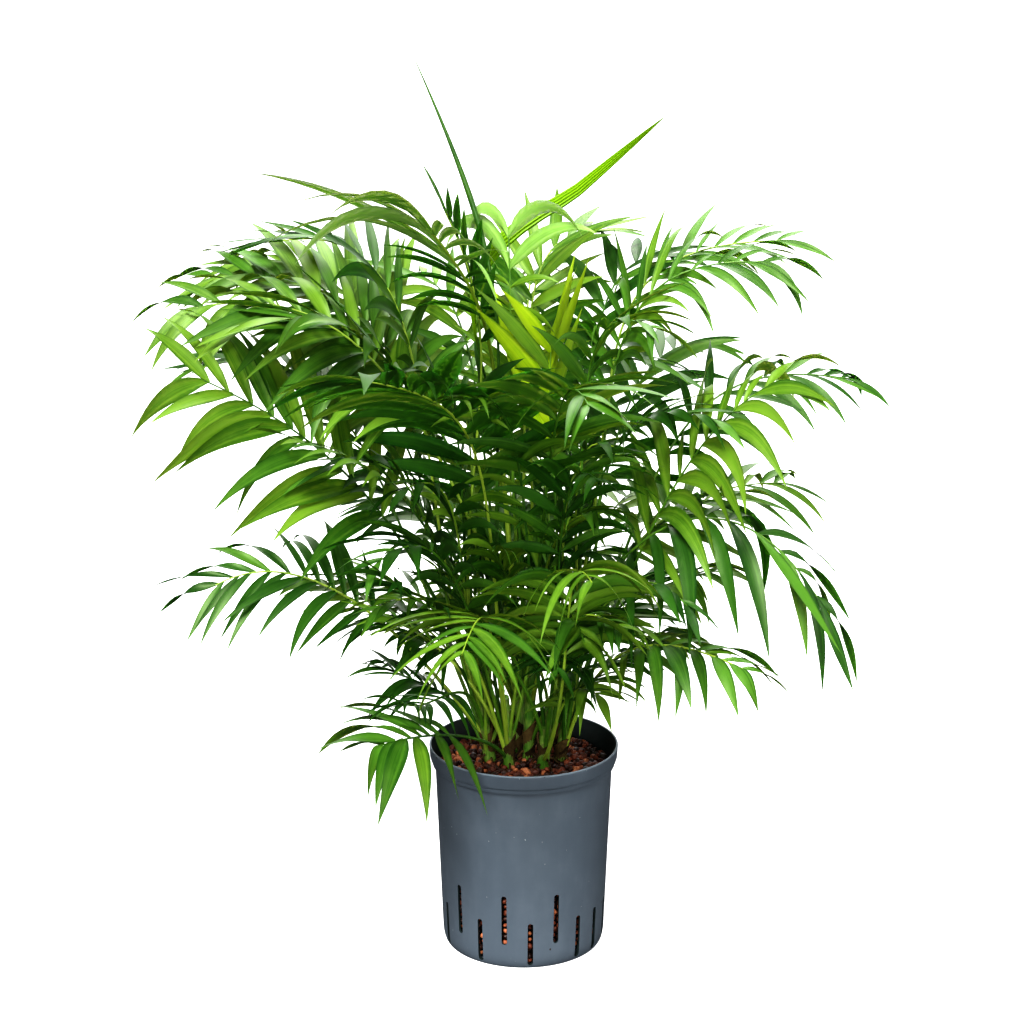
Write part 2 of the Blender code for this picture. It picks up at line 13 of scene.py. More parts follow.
import bmesh
import bpy
import numpy as np
from mathutils.bvhtree import BVHTree
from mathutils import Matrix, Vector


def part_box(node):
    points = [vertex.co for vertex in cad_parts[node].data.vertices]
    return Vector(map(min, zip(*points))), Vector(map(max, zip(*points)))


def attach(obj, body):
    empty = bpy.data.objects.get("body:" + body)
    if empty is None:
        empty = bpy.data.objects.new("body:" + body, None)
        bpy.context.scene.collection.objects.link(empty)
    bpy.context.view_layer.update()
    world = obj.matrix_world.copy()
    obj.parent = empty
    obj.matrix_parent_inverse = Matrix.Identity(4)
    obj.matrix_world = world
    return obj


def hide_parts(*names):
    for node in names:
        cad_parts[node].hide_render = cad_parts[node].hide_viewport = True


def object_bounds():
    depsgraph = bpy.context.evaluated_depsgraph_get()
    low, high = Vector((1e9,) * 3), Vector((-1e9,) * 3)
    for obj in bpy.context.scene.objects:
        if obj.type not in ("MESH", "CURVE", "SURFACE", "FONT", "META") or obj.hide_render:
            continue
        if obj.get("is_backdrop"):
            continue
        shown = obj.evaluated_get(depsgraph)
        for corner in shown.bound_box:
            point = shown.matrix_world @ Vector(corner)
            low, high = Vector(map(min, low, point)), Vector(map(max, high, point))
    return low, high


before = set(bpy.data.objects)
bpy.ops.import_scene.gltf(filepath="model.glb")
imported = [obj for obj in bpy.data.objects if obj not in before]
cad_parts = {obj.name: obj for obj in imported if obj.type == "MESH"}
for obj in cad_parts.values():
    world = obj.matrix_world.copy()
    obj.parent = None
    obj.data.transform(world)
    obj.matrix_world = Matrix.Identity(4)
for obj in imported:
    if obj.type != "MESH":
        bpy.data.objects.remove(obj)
CAD_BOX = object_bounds()

UP = np.array((0.0, 0.0, 1.0))
SEED = 11

# Edges that turn by more degrees than this stay sharp
POT_EDGES, CORE_EDGES, PEBBLE_EDGES = 28, 40, 60
RIB_EDGES, LEAF_EDGES = 60, 50  # the second also for canes, sheaths and roots

# Camera, floor and lights
CAMERA_PLACE = (-0.01065, -1.850, 0.894)
CAMERA_DIP = 14.74  # degrees below the horizon
LENS, SENSOR = 75.76, 36.0  # millimetres
FLOOR_SIZE = 140.0
BACKDROP_HEIGHT = 30.0  # of the floor's upturned edges, far off on all sides
FLOOR_PALENESS = 0.36
FLOOR_MOTTLE = (0.98, 1.02)  # as factors
FLOOR_GLOW = 0.90  # light of the floor itself, so that it stays pale in the shade
LIGHT_AIM = (0.0, 0.0, 0.42)
LIGHTS = (  # name, place, width, power in watts
    ("crown", (0.3, 1.4, 2.3), 1.6, 52.0),
    ("front", (0.5, -2.3, 0.70), 1.5, 40.0),
    ("left", (-2.3, 0.0, 0.80), 1.5, 20.0),
    ("right", (2.3, 0.2, 0.80), 1.5, 20.0),
    ("back", (0.0, 2.3, 0.80), 1.5, 20.0),
)
SUN_PLACE = (-0.45, -1.20, 1.80)  # the way from which the main light comes
SUN_STRENGTH = 6.6
SUN_SPREAD = 24.0  # degrees, for soft shadows
SKY_BRIGHTNESS = 0.08

# Pot: radii and heights, rounded at every change of direction
POT_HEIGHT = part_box("pot")[1].z
LIP_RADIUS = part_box("pot")[1].y
LIP_FOOT = 0.177
COLLAR_RADIUS = 0.0835
COLLAR_FOOT = 0.172
BODY_TOP_RADIUS = 0.0808
BASE_RADIUS = 0.0742  # where the straight wall would meet the floor
FOOT_RADIUS = 0.0710  # where its rounded foot does
FOOT_ROUNDING = 0.016
FOOT_STEPS = 6
WALL = 0.0020
FLOOR_THICKNESS = 0.0020
ROUNDING = 0.0008
POT_SIDES = 160

# Slots round the foot of the pot, a low one and a high one in turn, but for one
SLOTS = 20
FIRST_SLOT_BEARING = -157.5
LOW_OUT_OF_TURN = 7
SLOT_WIDTH = 0.005
SLOT_SIDES = 16
HAIR = 1e-6  # to tell the upper half of a cutter from its middle
LOW_SLOT = (0.0035, 0.045)  # lower and upper end
HIGH_SLOT = (0.0235, 0.0715)

# Clay pebbles
SOIL_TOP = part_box("granulate")[1].z
CORE_MARGIN = 0.0075  # of the dark filling behind the pebbles
PEBBLE_SIZES = (0.0028, 0.0048)  # half of the longest side
PEBBLE_WIDTHS, PEBBLE_DEPTHS = (0.72, 0.95), (0.60, 0.85)  # of that side
PEBBLE_WAVES, PEBBLE_LUMPS = 3, 0.10
PEBBLE_STEP = 0.0070
PEBBLE_ROW = 0.87  # from row to row, as a share of the step
LAYER_SHIFT = 0.4  # of the lower layer, as a share of its step
PEBBLE_SHIFT = 0.0012  # by which each may lie off its place
PEBBLE_LAYERS = ((PEBBLE_STEP, 0.0005), (1.15 * PEBBLE_STEP, 0.0045))  # step and depth
PEBBLE_REACH = 0.0750
SLOT_PEBBLE_SIZES = (0.0019, 0.0032)
SLOT_PEBBLE_STEP = 0.0058
SLOT_PEBBLE_INSETS = (0.9, 1.6)  # from the wall, in the size of the largest
CORE_DROPS = (0.016, 0.008, 0.004, 0.003)  # of its rounded top, below the surface

# Canes: bearing and distance of the foot from the clump's middle, height above the granulate, lean
CLUMP_MIDDLE = np.array((0.0, 0.010, 0.0))
CLUMP_RADIUS = 0.033
CANES = (
    (-120, 0.026, 0.070, 6),
    (-55, 0.030, 0.060, 7),
    (-12, 0.034, 0.075, 8),
    (40, 0.032, 0.085, 7),
    (95, 0.034, 0.080, 7),
    (150, 0.032, 0.090, 7),
    (-163, 0.032, 0.075, 8),
    (-45, 0.006, 0.130, 2),
    (105, 0.013, 0.120, 2),
)
CANE_NODES = [f"cane_{number}" for number in range(1, len(CANES) + 1)]
CANE_FOOT_RADIUS = 0.0050
CANE_FLARE = 0.012  # height of the thicker foot
CANE_RADIUS = 0.0039
CANE_TAPER = ((0.45, 0.97), (0.80, 0.93))  # shares of its height, and of that radius there
CANE_TIP_RADIUS = 0.0032
CANE_SIDES = 20
FIRST_SCAR = CANE_FLARE * 0.8
RING_SPACING = 0.019  # between the leaf scars of a cane
LEAST_RING_STEP = 0.001  # between the last ring and the top
RING_SWELL = 1.10
RING_HALF_HEIGHT = 0.0009
SCAR_RINGS = ((-1.0, 1.0), (-0.3, RING_SWELL), (0.4, RING_SWELL), (1.0, 0.97))  # half heights, swelling
CANE_START = ((-0.006, 1.15), (-0.001, 1.08))  # heights and swelling in the pebbles
CANE_END = ((0.0008, 0.95), (0.0, 0.7))  # depths under its top and swelling
SCAR_PALENESS = 0.75

# Room and feet of the ribs
GAP = 0.0003
TEST_GAP = 0.00025
FRONDS_SPREAD_COST = 0.012  # of a cane, for each frond that it has already, in metres of way
CANES_TRIED = 3
FOOT_SHARES = (0.15, 0.97)  # lowest and highest foot of a rib on its cane
FROND_HEIGHTS = (0.24, 0.68)  # that go with them

# Ribs, as in the solids
RIB_PROFILE = ((0.0, 0.5, 1.0), (0.0020, 0.0012, 0.0006))  # shares of its length, radii there
RIB_KEEL = 1.3
START_PULL = 0.50
END_PULL = 0.38
LEAST_LEAN = 3.0
LEVEL_LEAN = 14.5
LEAN_BY_REACH = 60.0
LEAN_BY_HEIGHT = -15.0
ROLL_SHARES = (0.10, 0.45)
PATH_STEPS = 160
FRAME_STEP = 0.002
LEAFY_SHARE = 0.5
PETIOLE_STEPS = 5
PAIR_SPACING = 0.021
FEWEST_PAIRS, MOST_PAIRS = 6, 10
LEAF_ROOT = 0.006

# The finer ribs, the sheaths that clasp the canes, and the roots
FINE_RIB_SIDES = 8
FINE_RIB_RINGS = 34
FINE_RIB_END = 0.0005  # by which it stops short of the rib's end
SHEATH_HEIGHT = 0.026  # of the clasping foot of a rib, along its cane
SHEATH_HEIGHTS = (0.8, 1.2)  # as factors
SHEATH_RIM = 0.002  # by which it rises above the rib's foot
SHEATH_LEVELS = 6
SHEATH_WRAP = 0.86  # of half a turn, each way
SHEATH_WALL = 0.0007
SHEATH_GAP = 0.1  # between it and the cane, as a share of its thickness
SHEATH_SIDES = 14
SHEATH_SLANT = 0.007
SHEATH_DROP = 0.4  # of that slant, by which its rim lies lower all round
SHEATH_SWELL = (1.2, 1.6)  # in walls: all round, and more at the top towards the leaf
SHEATH_BORDERS = (0.75, 0.72)  # shares of its height and way round past which it pales
BORDER_PALENESS = 5  # how fast it does
OLD_SHEATHS = 2  # dry ones at the foot of each cane
OLD_SHEATH_TOPS = (0.014, 0.042)
OLD_SHEATH_FLARE = 0.0022  # by which their tops stand off
ROOTS = 5  # at the foot of each cane
ROOT_REACHES = (0.007, 0.014)
ROOT_RISES = (0.004, 0.009)
ROOT_DEPTH = 0.003  # of its end, in the pebbles
ROOT_TURN = 0.3  # of the way to the next root
ROOT_RADII = (0.0013, 0.0006)
ROOT_STEPS = 7
ROOT_SIDES = 7

# Leaflets
FINE_PAIR_SPACING = 0.0182
FEWEST_FINE_PAIRS, MOST_FINE_PAIRS = 7, 15
TIP_SPREAD = 28.0
LEAF_STEPS = 20
DROOP_POWER = 1.2
LONGEST_SHARE = 0.38
LENGTH_FALL = 0.9
LIFT = 0.15
LEAF_WIDTH_SHARE = 0.130
END_PAIR_WIDTH = 1.25  # the last pair is broader
LEAF_STATIONS = 11
LEAF_THICKNESS = 0.0003
ROOT_THICKNESS = 1.15  # in that thickness, less 1 at the tip
LEAF_COLUMNS = (-1.0, -0.5, 0.0, 0.5, 1.0)  # across the upper side
BLADE_OUTLINE = (0.68, 1.05)  # powers that place and sharpen its widest part
ROOT_WIDTH = 0.24  # of the widest place
ROOT_FOLD = 0.55  # how far the two halves of the blade stand up from the middle
BLADE_FOLD = 0.14
FOLD_POWER, FOLD_DROP = 1.3, 0.35  # how round the fold is, and how far its middle sinks
FOLD_FADE = 3  # the root's fold is gone after one part in this many of its length
FOLDS = (0.6, 1.4)  # as factors
DRY_TIP_CHANCE = 0.30
STAGGER = 0.0045  # metres along the rib
# How each leaflet differs: turn and twist in degrees, the others as factors
WHIMS = {
    "turn": (-11, 11), "length": (0.82, 1.10), "droop": (0.50, 1.45),
    "twist": (-38, 38), "bend": (-0.14, 0.14), "width": (0.86, 1.14),
}


def frond_names(*numbers):
    return tuple(f"frond_{number:02d}" for number in numbers)


# Fronds with broader or slimmer leaflets than most, and with wider or closer spacing, as factors
BLADE_WIDTHS = (
    (1.60, frond_names(12)),
    (1.35, frond_names(19)),
    (1.20, frond_names(7, 14, 32, 33)),
    (0.85, frond_names(3, 5, 6, 11, 20, 29, 30)),
    (0.80, frond_names(1, 2)),
)
LEAF_SPACINGS = (
    (1.25, frond_names(6)),
    (1.10, frond_names(19)),
    (0.75, frond_names(7, 10, 11, 12, 20, 22, 23, 24, 27)),
    (0.85, frond_names(31)),
)

# What the fine leaflets have otherwise than the solid's, as seen in the photograph
FINE_CHANGES = {
    "frond_06": {"leaf": 0.135, "spread": 78, "droop": 2.4},
    "frond_07": {"leaf": 0.085, "spread": 52},
    "frond_12": {"leaf": 0.090},
    "frond_19": {"leaf": 0.100, "spread": 72, "droop": 1.3},
    "frond_21": {"leaf": 0.135},
    "frond_31": {"leaf": 0.195, "droop": 1.1},
    "frond_33": {"leaf": 0.125, "spread": 25},
}
LIFTS = {"frond_31": 0.26}  # how far the leaflets rise from the rib's plane, where not by LIFT
# Fronds whose leaflets nearer the rib's foot differ: up to which share of the leafy part, their tone, and
# length as a factor
FROND_INNER_PARTS = {"frond_31": (0.45, "deep", 0.48), "frond_35": (0.55, "fresh", 0.45)}
STOUT_STALKS = {"frond_31": 1.45}  # radius as a factor; they are pale too
SHORT_SIDES = {"frond_31": (1, 0.5)}  # the side with shorter leaflets, and their length as a factor

# A frond: where the end of its rib lies, its dip below the horizontal there, the length and droop of
# its leaflets, the angle of the first ones to the rib, the roll of the blade about the rib, how much
# further than others it leans at its foot, how much wider than others it arches, and how many pairs
# of leaflets it has at most, counted from its end
Frond = namedtuple("Frond", "bearing reach height nod leaf droop spread roll lean arch pairs")
USUAL_FROND = Frond(0, 0, 0, 12, 0.09, 0.7, 62, 0, 0, 1.0, MOST_PAIRS)


def frond(bearing, reach, height, **changes):
    """A frond like most of them, but for the changes."""
    return USUAL_FROND._replace(bearing=bearing, reach=reach, height=height, **changes)


RIGHT_FRONDS = (
    frond(12, 0.236, 0.642, nod=0, leaf=0.08, roll=20, lean=-4, arch=1.26),
    frond(-6, 0.208, 0.633, nod=2, leaf=0.10, droop=1.3, roll=25, lean=-6, arch=1.12),
    frond(15, 0.306, 0.512, leaf=0.085, droop=0.9, roll=25, lean=-6, arch=1.2),
    frond(-16, 0.218, 0.535, nod=-30, leaf=0.12, droop=2.0, roll=35, arch=0.7),
    frond(31, 0.289, 0.397, nod=7, leaf=0.10, droop=1.1, roll=20, lean=-9, arch=1.04),
    frond(-15, 0.263, 0.347, nod=58, leaf=0.14, droop=2.2, spread=55, roll=15, lean=-18, arch=1.5),
    frond(-33, 0.222, 0.301, leaf=0.07, droop=1.9, roll=15, lean=-8, arch=1.1),
    frond(-47, 0.095, 0.260, nod=15, leaf=0.075, droop=1.3),
    frond(46, 0.165, 0.280, nod=35, leaf=0.08, droop=0.8),
)
FRONT_FRONDS = (
    frond(-75, 0.207, 0.401, nod=5, leaf=0.10, droop=1.6, lean=30, arch=1.2),
    frond(-103, 0.226, 0.347, nod=15, leaf=0.115, droop=1.0, lean=5, arch=1.2),
    frond(-72, 0.160, 0.335, nod=30, leaf=0.07, droop=1.3),
    frond(-76, 0.205, 0.545, nod=15, leaf=0.105),
    frond(-122, 0.235, 0.565, nod=-15, leaf=0.13, droop=0.8, roll=15, lean=-13, arch=1.28),
    frond(-136, 0.170, 0.395, nod=25, droop=0.9),
    frond(-44, 0.145, 0.590, nod=10, leaf=0.085, droop=1.0),
    frond(-31, 0.095, 0.475, leaf=0.085, droop=1.0),
    frond(-63, 0.135, 0.465, nod=10, leaf=0.085, droop=0.9),
)
LEFT_FRONDS = (
    frond(-134, 0.177, 0.235, nod=0, leaf=0.088, droop=1.4, spread=68, roll=-20, lean=19, arch=0.63),
    frond(-169, 0.274, 0.355, nod=27, leaf=0.095, droop=1.1, roll=-40, lean=8, arch=0.85),
    frond(-168, 0.278, 0.538, nod=-28, leaf=0.125, droop=0.8, spread=50, roll=-50, arch=0.93),
    frond(180, 0.285, 0.590, leaf=0.115, droop=1.2, roll=-35),
    frond(165, 0.290, 0.605, nod=10, leaf=0.11, droop=0.8, roll=-30),
    frond(149, 0.285, 0.610, nod=4, leaf=0.13, droop=0.9, spread=50, roll=-10),
    frond(-168, 0.240, 0.580, nod=15, leaf=0.11),
    frond(165, 0.225, 0.640, leaf=0.10, droop=0.6),
    frond(161, 0.305, 0.520, nod=18, droop=0.6),
    frond(-167, 0.175, 0.455, nod=20, droop=0.8),
    frond(160, 0.145, 0.285, nod=35, leaf=0.08, droop=0.8),
    frond(135, 0.170, 0.385, nod=20, leaf=0.08),
)
TOP_FRONDS = (
    frond(-122, 0.141, 0.670, nod=-30, leaf=0.15, droop=1.2, spread=75, lean=-13, arch=1.28, pairs=7),
    frond(-163, 0.070, 0.675, nod=-60, leaf=0.085, droop=0.3),
    frond(-52, 0.038, 0.567, nod=-80, leaf=0.11, droop=0.05, spread=26, lean=25, arch=1.1, pairs=4),
    frond(60, 0.140, 0.640, nod=8, droop=0.5),
    frond(-125, 0.024, 0.656, nod=-85, leaf=0.125, droop=1.5, spread=70, lean=12, arch=0.55, pairs=3),
)
SEEN_FRONDS = (*RIGHT_FRONDS, *FRONT_FRONDS, *LEFT_FRONDS, *TOP_FRONDS)
SEEN_NAMES = frond_names(*range(1, len(SEEN_FRONDS) + 1))

# Tiers of the side that faces away: height and reach of the rib's end, and bearings
BACK_TIERS = (
    (0.610, 0.200, (45, 90, 128)),
    (0.500, 0.270, (50, 78, 104, 138)),
    (0.370, 0.280, (62, 92, 122)),
    (0.530, 0.120, (0, 180)),
)
BACK_SEED = 7
BACK_TURN = 4  # degrees by which each may stand off its tier's bearing
BACK_REACHES = (0.93, 1.07)  # as factors
BACK_RISE = 0.02
BACK_SPANS = {"nod": (10, 24), "leaf": (0.085, 0.105), "droop": (0.6, 1.1)}

# Small fronds inside the clump that the solids leave out: number, reach and height of the rib's end
INNER_TIERS = (
    (18, (0.060, 0.135), (0.280, 0.470)),
    (18, (0.105, 0.180), (0.260, 0.360)),
    (12, (0.140, 0.210), (0.340, 0.560)),
)
INNER_SPANS = {"nod": (-45, 25), "leaf": (0.060, 0.085), "droop": (0.6, 1.3), "spread": (38, 64)}
INNER_TURN = 137.5  # degrees from each to the next

# The two leaves that stand up above the crown
SPEAR = frond(180, 0.092, 0.800, nod=-65, lean=-13, arch=1.22, pairs=0)
SPEAR_STEPS = 10
SPEAR_POINT_SHARE = 0.95
SPEAR_PROFILE = ((0.0, 0.60, 0.78, 1.0), (0.0020, 0.0012, 0.0026, 0.0003))
SPEAR_SHADE = 0.05
YOUNG_LEAF = frond(
    37, 0.050, 0.683, nod=-27, leaf=0.125, droop=0.02, spread=8, lean=-13, arch=1.28, pairs=3
)
YOUNG_BLADE_START = 0.58  # of its rib
YOUNG_BLADE_WIDTH = 0.0140
YOUNG_BLADE_STATIONS = 16
YOUNG_BLADE_TURN = 60  # degrees about its rib
YOUNG_BLADE_REACH = 0.84  # past the rib's end, of the solid's
YOUNG_BLADE_RISE = 14  # degrees above its rib's end
YOUNG_BLADE_SHADE = -0.35
YOUNG_BLADE_LEAST = 0.04  # of that width, at its ends
YOUNG_OUTLINE = 0.7  # power that places its widest part and fills it out
YOUNG_FOLDS = 10
YOUNG_CROWN = 0.3  # of half its width, by which its middle stands up
PLEAT_DEPTH = 0.0010
PLEAT_FADE = 4  # it is full where the blade has one part in this many of its width

# Changes tried in turn until a rib or a leaflet has room
FOOT_TURNS = (0, 20, -20, 40, -40, 60, -60, 80, -80, 110, -110)
BOWS = (0.0, 0.02, -0.02, 0.045, -0.045, 0.075, -0.075)
FOOT_CHANGES = (0.0, 0.12, -0.12, 0.25, -0.25, 0.4, -0.4)
SHIFTS = (0.0, 0.012, -0.012, 0.025, -0.025, 0.04, -0.04)
LEAF_TRIES = (  # droop and length as factors, turn towards the rib's end in degrees
    (1.0, 1.0, 0), (1.3, 1.0, 0), (0.7, 1.0, 0), (1.0, 1.0, 8), (1.0, 1.0, -8),
    (1.6, 0.95, 5), (0.4, 0.95, -5), (1.0, 0.8, 10), (1.3, 0.7, -10), (0.8, 0.6, 0),
)

# Greens of the leaflets: upper side at its darkest and in full colour, under side made paler partly as
# painted light shining through
TONES = {
    "deep": ((0.005, 0.032, 0.003), (0.021, 0.078, 0.007), (0.036, 0.108, 0.010)),
    "mid": ((0.013, 0.056, 0.004), (0.054, 0.142, 0.013), (0.078, 0.182, 0.018)),
    "fresh": ((0.030, 0.092, 0.005), (0.110, 0.208, 0.018), (0.145, 0.255, 0.026)),
    # pale: a lighter green that partly stands for painted sheen where light falls on the crown's top
    "pale": ((0.085, 0.200, 0.025), (0.200, 0.350, 0.080), (0.230, 0.400, 0.085)),
    "young": ((0.150, 0.290, 0.004), (0.330, 0.470, 0.012), (0.300, 0.430, 0.011)),
}
FROND_TONES = {
    # the top fronds of the crown take the pale green, partly as painted sheen
    "pale": frond_names(31, 35),
    "young": (*frond_names(33), "young_leaf"),
    "fresh": frond_names(4, 8, 10, 11, 12, 21, 22, 24, 34),
    "deep": frond_names(3, 6, 9, 14, 15, 17, 18, 20, 26, 27, 28, 29, 30, 32),
}
# deep green comes up twice as often, partly as painted shade inside the clump
DEALT_TONES = ("deep", "deep", "mid", "fresh")  # for the inner fronds and those of the far side
UNDER_SHADE = 0.75  # of the under side's colour, where it is darkest
LEAF_SHEEN = (0.82, 1.0, 0.55)
LEAF_GLOW = (0.7, 1.0, 0.25)  # how far each colour of light spreads inside
NEXT_TONES = {"deep": "mid", "mid": "fresh", "fresh": "mid", "pale": "mid", "young": "fresh"}
NEXT_TONE_CHANCE = 0.20
FIRST_SERVED = frond_names(33, 31, 35)  # their leaflets find room before those of others


def unit(vector):
    return vector / np.linalg.norm(vector)


def units(vectors):
    return vectors / np.linalg.norm(vectors, axis=1)[:, None]


def turned(first, second, cosine, sine):
    """Two ways at right angles, turned together from the first towards the second."""
    return first * cosine + second * sine, second * cosine - first * sine


def dealt(chance, spans):
    """A value by chance from each span."""
    return {key: chance.uniform(*span) for key, span in spans.items()}


def spot(bearing, distance, height=0):
    turn = math.radians(bearing)
    return np.array((distance * math.cos(turn), distance * math.sin(turn), height))


# Materials


class Finish:
    """A material and its shader, with short ways to add the nodes that drive them."""

    def __init__(self, name, **constants):
        self.material = bpy.data.materials.new(name)
        self.material.use_nodes = True
        self.shader = self.material.node_tree.nodes["Principled BSDF"]
        for socket, value in constants.items():
            self.drive(socket.replace("_", " ").title().replace("Ior", "IOR"), value)

    def feed(self, socket, value):
        """Links another node's output to a socket, or sets it to a plain value."""
        if isinstance(value, bpy.types.NodeSocket):
            self.material.node_tree.links.new(value, socket)
        else:
            socket.default_value = (*value, 1.0) if socket.type == "RGBA" else value

    def drive(self, socket, value):
        self.feed(self.shader.inputs[socket], value)

    def add(self, kind, output, inputs=None, **settings):
        """An output of a new node with these inputs and settings."""
        made = self.material.node_tree.nodes.new("ShaderNode" + kind)
        for key, value in settings.items():
            setattr(made, key, value)
        for socket, value in (inputs or {}).items():
            self.feed(made.inputs[socket], value)
        return made.outputs[output]

    def place(self):
        return self.add("TexCoord", "Object")

    def blade(self):
        return self.add("UVMap", "UV", uv_map="blade")

    def attribute(self, name):
        return self.add("Attribute", "Fac", attribute_name=name)

    def noise(self, scale, detail=3.0, roughness=0.55, stretch=(1, 1, 1), source=None):
        """A cloudy pattern on the object's coordinates in metres, or on others."""
        source = self.place() if source is None else source
        vector = self.add("Mapping", "Vector", {"Vector": source, "Scale": stretch})
        settings = {"Vector": vector, "Scale": scale, "Detail": detail, "Roughness": roughness}
        return self.add("TexNoise", "Fac", settings)

    def share(self, value, low, high, first=0.0, last=1.0):
        """From first to last as the value goes from low to high."""
        ends = {"From Min": low, "From Max": high, "To Min": first, "To Max": last}
        return self.add("MapRange", "Result", {"Value": value, **ends})

    def height(self, low, high):
        """From 0 at the height low to 1 at the height high."""
        return self.share(self.add("SeparateXYZ", "Z", {"Vector": self.place()}), low, high)

    def margin(self, start):
        """From 0 at that share of a leaflet's half width to 1 at its edge."""
        across = self.add("SeparateXYZ", "X", {"Vector": self.blade()})
        aside = self.add("Math", 0, {0: across, 1: 0.5}, operation="SUBTRACT")
        return self.share(self.add("Math", 0, {0: aside}, operation="ABSOLUTE"), 0.5 * start, 0.5)

    def sum(self, *parts, start=0.0):
        """Adds sockets, each by its weight, to a plain number."""
        total = start
        for socket, weight in parts:
            total = self.add("Math", 0, {0: socket, 1: weight, 2: total}, operation="MULTIPLY_ADD")
        return total

    def ramp(self, factor, *stops):
        """Colours at their places between 0 and 1."""
        colour = self.add("ValToRGB", "Color", {"Fac": factor})
        band = colour.node.color_ramp
        while len(band.elements) < len(stops):
            band.elements.new(0.5)
        for element, (place, shade) in zip(band.elements, stops):
            element.position = place
            element.color = (*shade, 1.0)
        return colour

    def mix(self, factor, first, second):
        return self.add("Mix", 2, {0: factor, 6: first, 7: second}, data_type="RGBA")

    def done(self, colour, gloss, relief):
        """The material, with its roughness between two values and its bump of some depth and strength."""
        factor, smoothest, roughest = gloss
        height, distance, strength = relief
        bump = {"Height": height, "Distance": distance, "Strength": strength}
        self.drive("Base Color", colour)
        self.drive("Roughness", self.share(factor, 0.0, 1.0, smoothest, roughest))
        self.drive("Normal", self.add("Bump", "Normal", bump))
        return self.material


def grained(name, gloss, grain, roughness, relief, *stops, own=0.0, weight=1.0):
    """A finish that follows one grain, and in its colour also each shape's own shade."""
    finish = Finish(name, specular_ior_level=gloss)
    fine = finish.noise(*grain)
    shade = finish.sum((fine, weight), (finish.attribute("shade"), own)) if own else fine
    return finish.done(finish.ramp(shade, *stops), (fine, *roughness), (fine, *relief))


def pot_plastic():
    """Slate blue plastic, dulled by handling, with a painted highlight along its top edge, pale dust and a
    few dark specks.
    """
    finish = Finish("pot_plastic", specular_ior_level=0.35)
    rubbed = finish.noise(90.0, 4.0, stretch=(1, 1, 0.25))
    shade = finish.sum((finish.noise(14.0, 5.0, 0.62), 0.70), (rubbed, 0.30))
    stops = (0.25, (0.068, 0.085, 0.104)), (0.50, (0.081, 0.101, 0.122)), (0.78, (0.106, 0.129, 0.153))
    # the lighter band round the top edge is a painted highlight
    brim_highlight = finish.height(POT_HEIGHT - 1.6 * ROUNDING, POT_HEIGHT - 0.4 * ROUNDING)
    colour = finish.mix(brim_highlight, finish.ramp(shade, *stops), (0.165, 0.200, 0.230))
    dust = finish.ramp(finish.noise(300.0, 1.0), (0.785, (0, 0, 0)), (0.810, (1, 1, 1)))
    specks = finish.ramp(finish.noise(230.0, 1.0), (0.170, (1, 1, 1)), (0.200, (0, 0, 0)))
    colour = finish.mix(specks, finish.mix(dust, colour, (0.36, 0.38, 0.38)), (0.030, 0.022, 0.018))
    relief = finish.sum((rubbed, 0.6), (finish.noise(700.0, 2.0), 0.4))
    return finish.done(colour, (shade, 0.45, 0.65), (relief, 0.0002, 0.5))


def pot_inside_shade():
    """The inner wall: the same plastic, drawn near black as painted shade inside the pot."""
    return grained(
        "pot_inside_shade", 0.25, (60.0, 4.0, 0.6), (0.45, 0.70), (0.0004, 0.6),
        (0.30, (0.006, 0.011, 0.010)), (0.70, (0.016, 0.026, 0.026)),
    )


def clay(name):
    """Fired red clay, each pebble in its own shade."""
    finish = Finish(name, specular_ior_level=0.5)
    grain = finish.noise(900.0, 4.0, 0.7)
    shade = finish.sum((finish.attribute("shade"), 0.8), (grain, 0.35))
    colour = finish.ramp(
        shade,
        (0.10, (0.006, 0.002, 0.001)), (0.45, (0.048, 0.012, 0.005)),
        (0.78, (0.190, 0.044, 0.015)), (0.98, (0.500, 0.190, 0.080)),
    )
    return finish.done(colour, (shade, 0.28, 0.70), (grain, 0.0006, 0.8))


def painted_shade_core():
    """The dark filling that shows between the pebbles: painted shade for the depth of the granulate."""
    return grained(
        "painted_shade_core", 0.2, (260.0, 5.0, 0.7), (0.7, 0.95), (0.003, 1.0),
        (0.35, (0.004, 0.002, 0.002)), (0.75, (0.040, 0.014, 0.010)),
    )


def stem(finish, fibres, patches, stops, scar, roughness, relief):
    """A green stem drawn with lengthwise fibres, paler in patches and at its scars."""
    shade = finish.sum(fibres, patches)
    colour = finish.mix(finish.attribute("scar"), finish.ramp(shade, *stops), scar)
    return finish.done(colour, (shade, *roughness), (fibres[0], 0.0004, relief))


def cane_green():
    """Green stem, drawn with fine lengthwise fibres and corky scars."""
    stops = (0.25, (0.010, 0.050, 0.005)), (0.50, (0.036, 0.130, 0.010)), (0.78, (0.130, 0.250, 0.028))
    finish = Finish("cane_green", specular_ior_level=0.5, coat_weight=0.15)
    fibres, patches = finish.noise(1500.0, stretch=(1, 1, 0.045)), finish.noise(75.0, stretch=(1, 1, 0.4))
    return stem(finish, (fibres, 0.45), (patches, 0.75), stops, (0.110, 0.130, 0.040), (0.30, 0.55), 0.7)


def sheath_green():
    """The clasping foot of a frond: yellow-green with a papery brown edge."""
    stops = (0.25, (0.018, 0.075, 0.006)), (0.55, (0.070, 0.190, 0.016)), (0.82, (0.250, 0.360, 0.070))
    finish = Finish("sheath_green", specular_ior_level=0.4)
    fibres, patches = finish.noise(1300.0, stretch=(1, 1, 0.05)), finish.noise(60.0, 2.0)
    return stem(finish, (fibres, 0.5), (patches, 0.7), stops, (0.150, 0.190, 0.050), (0.38, 0.65), 0.8)


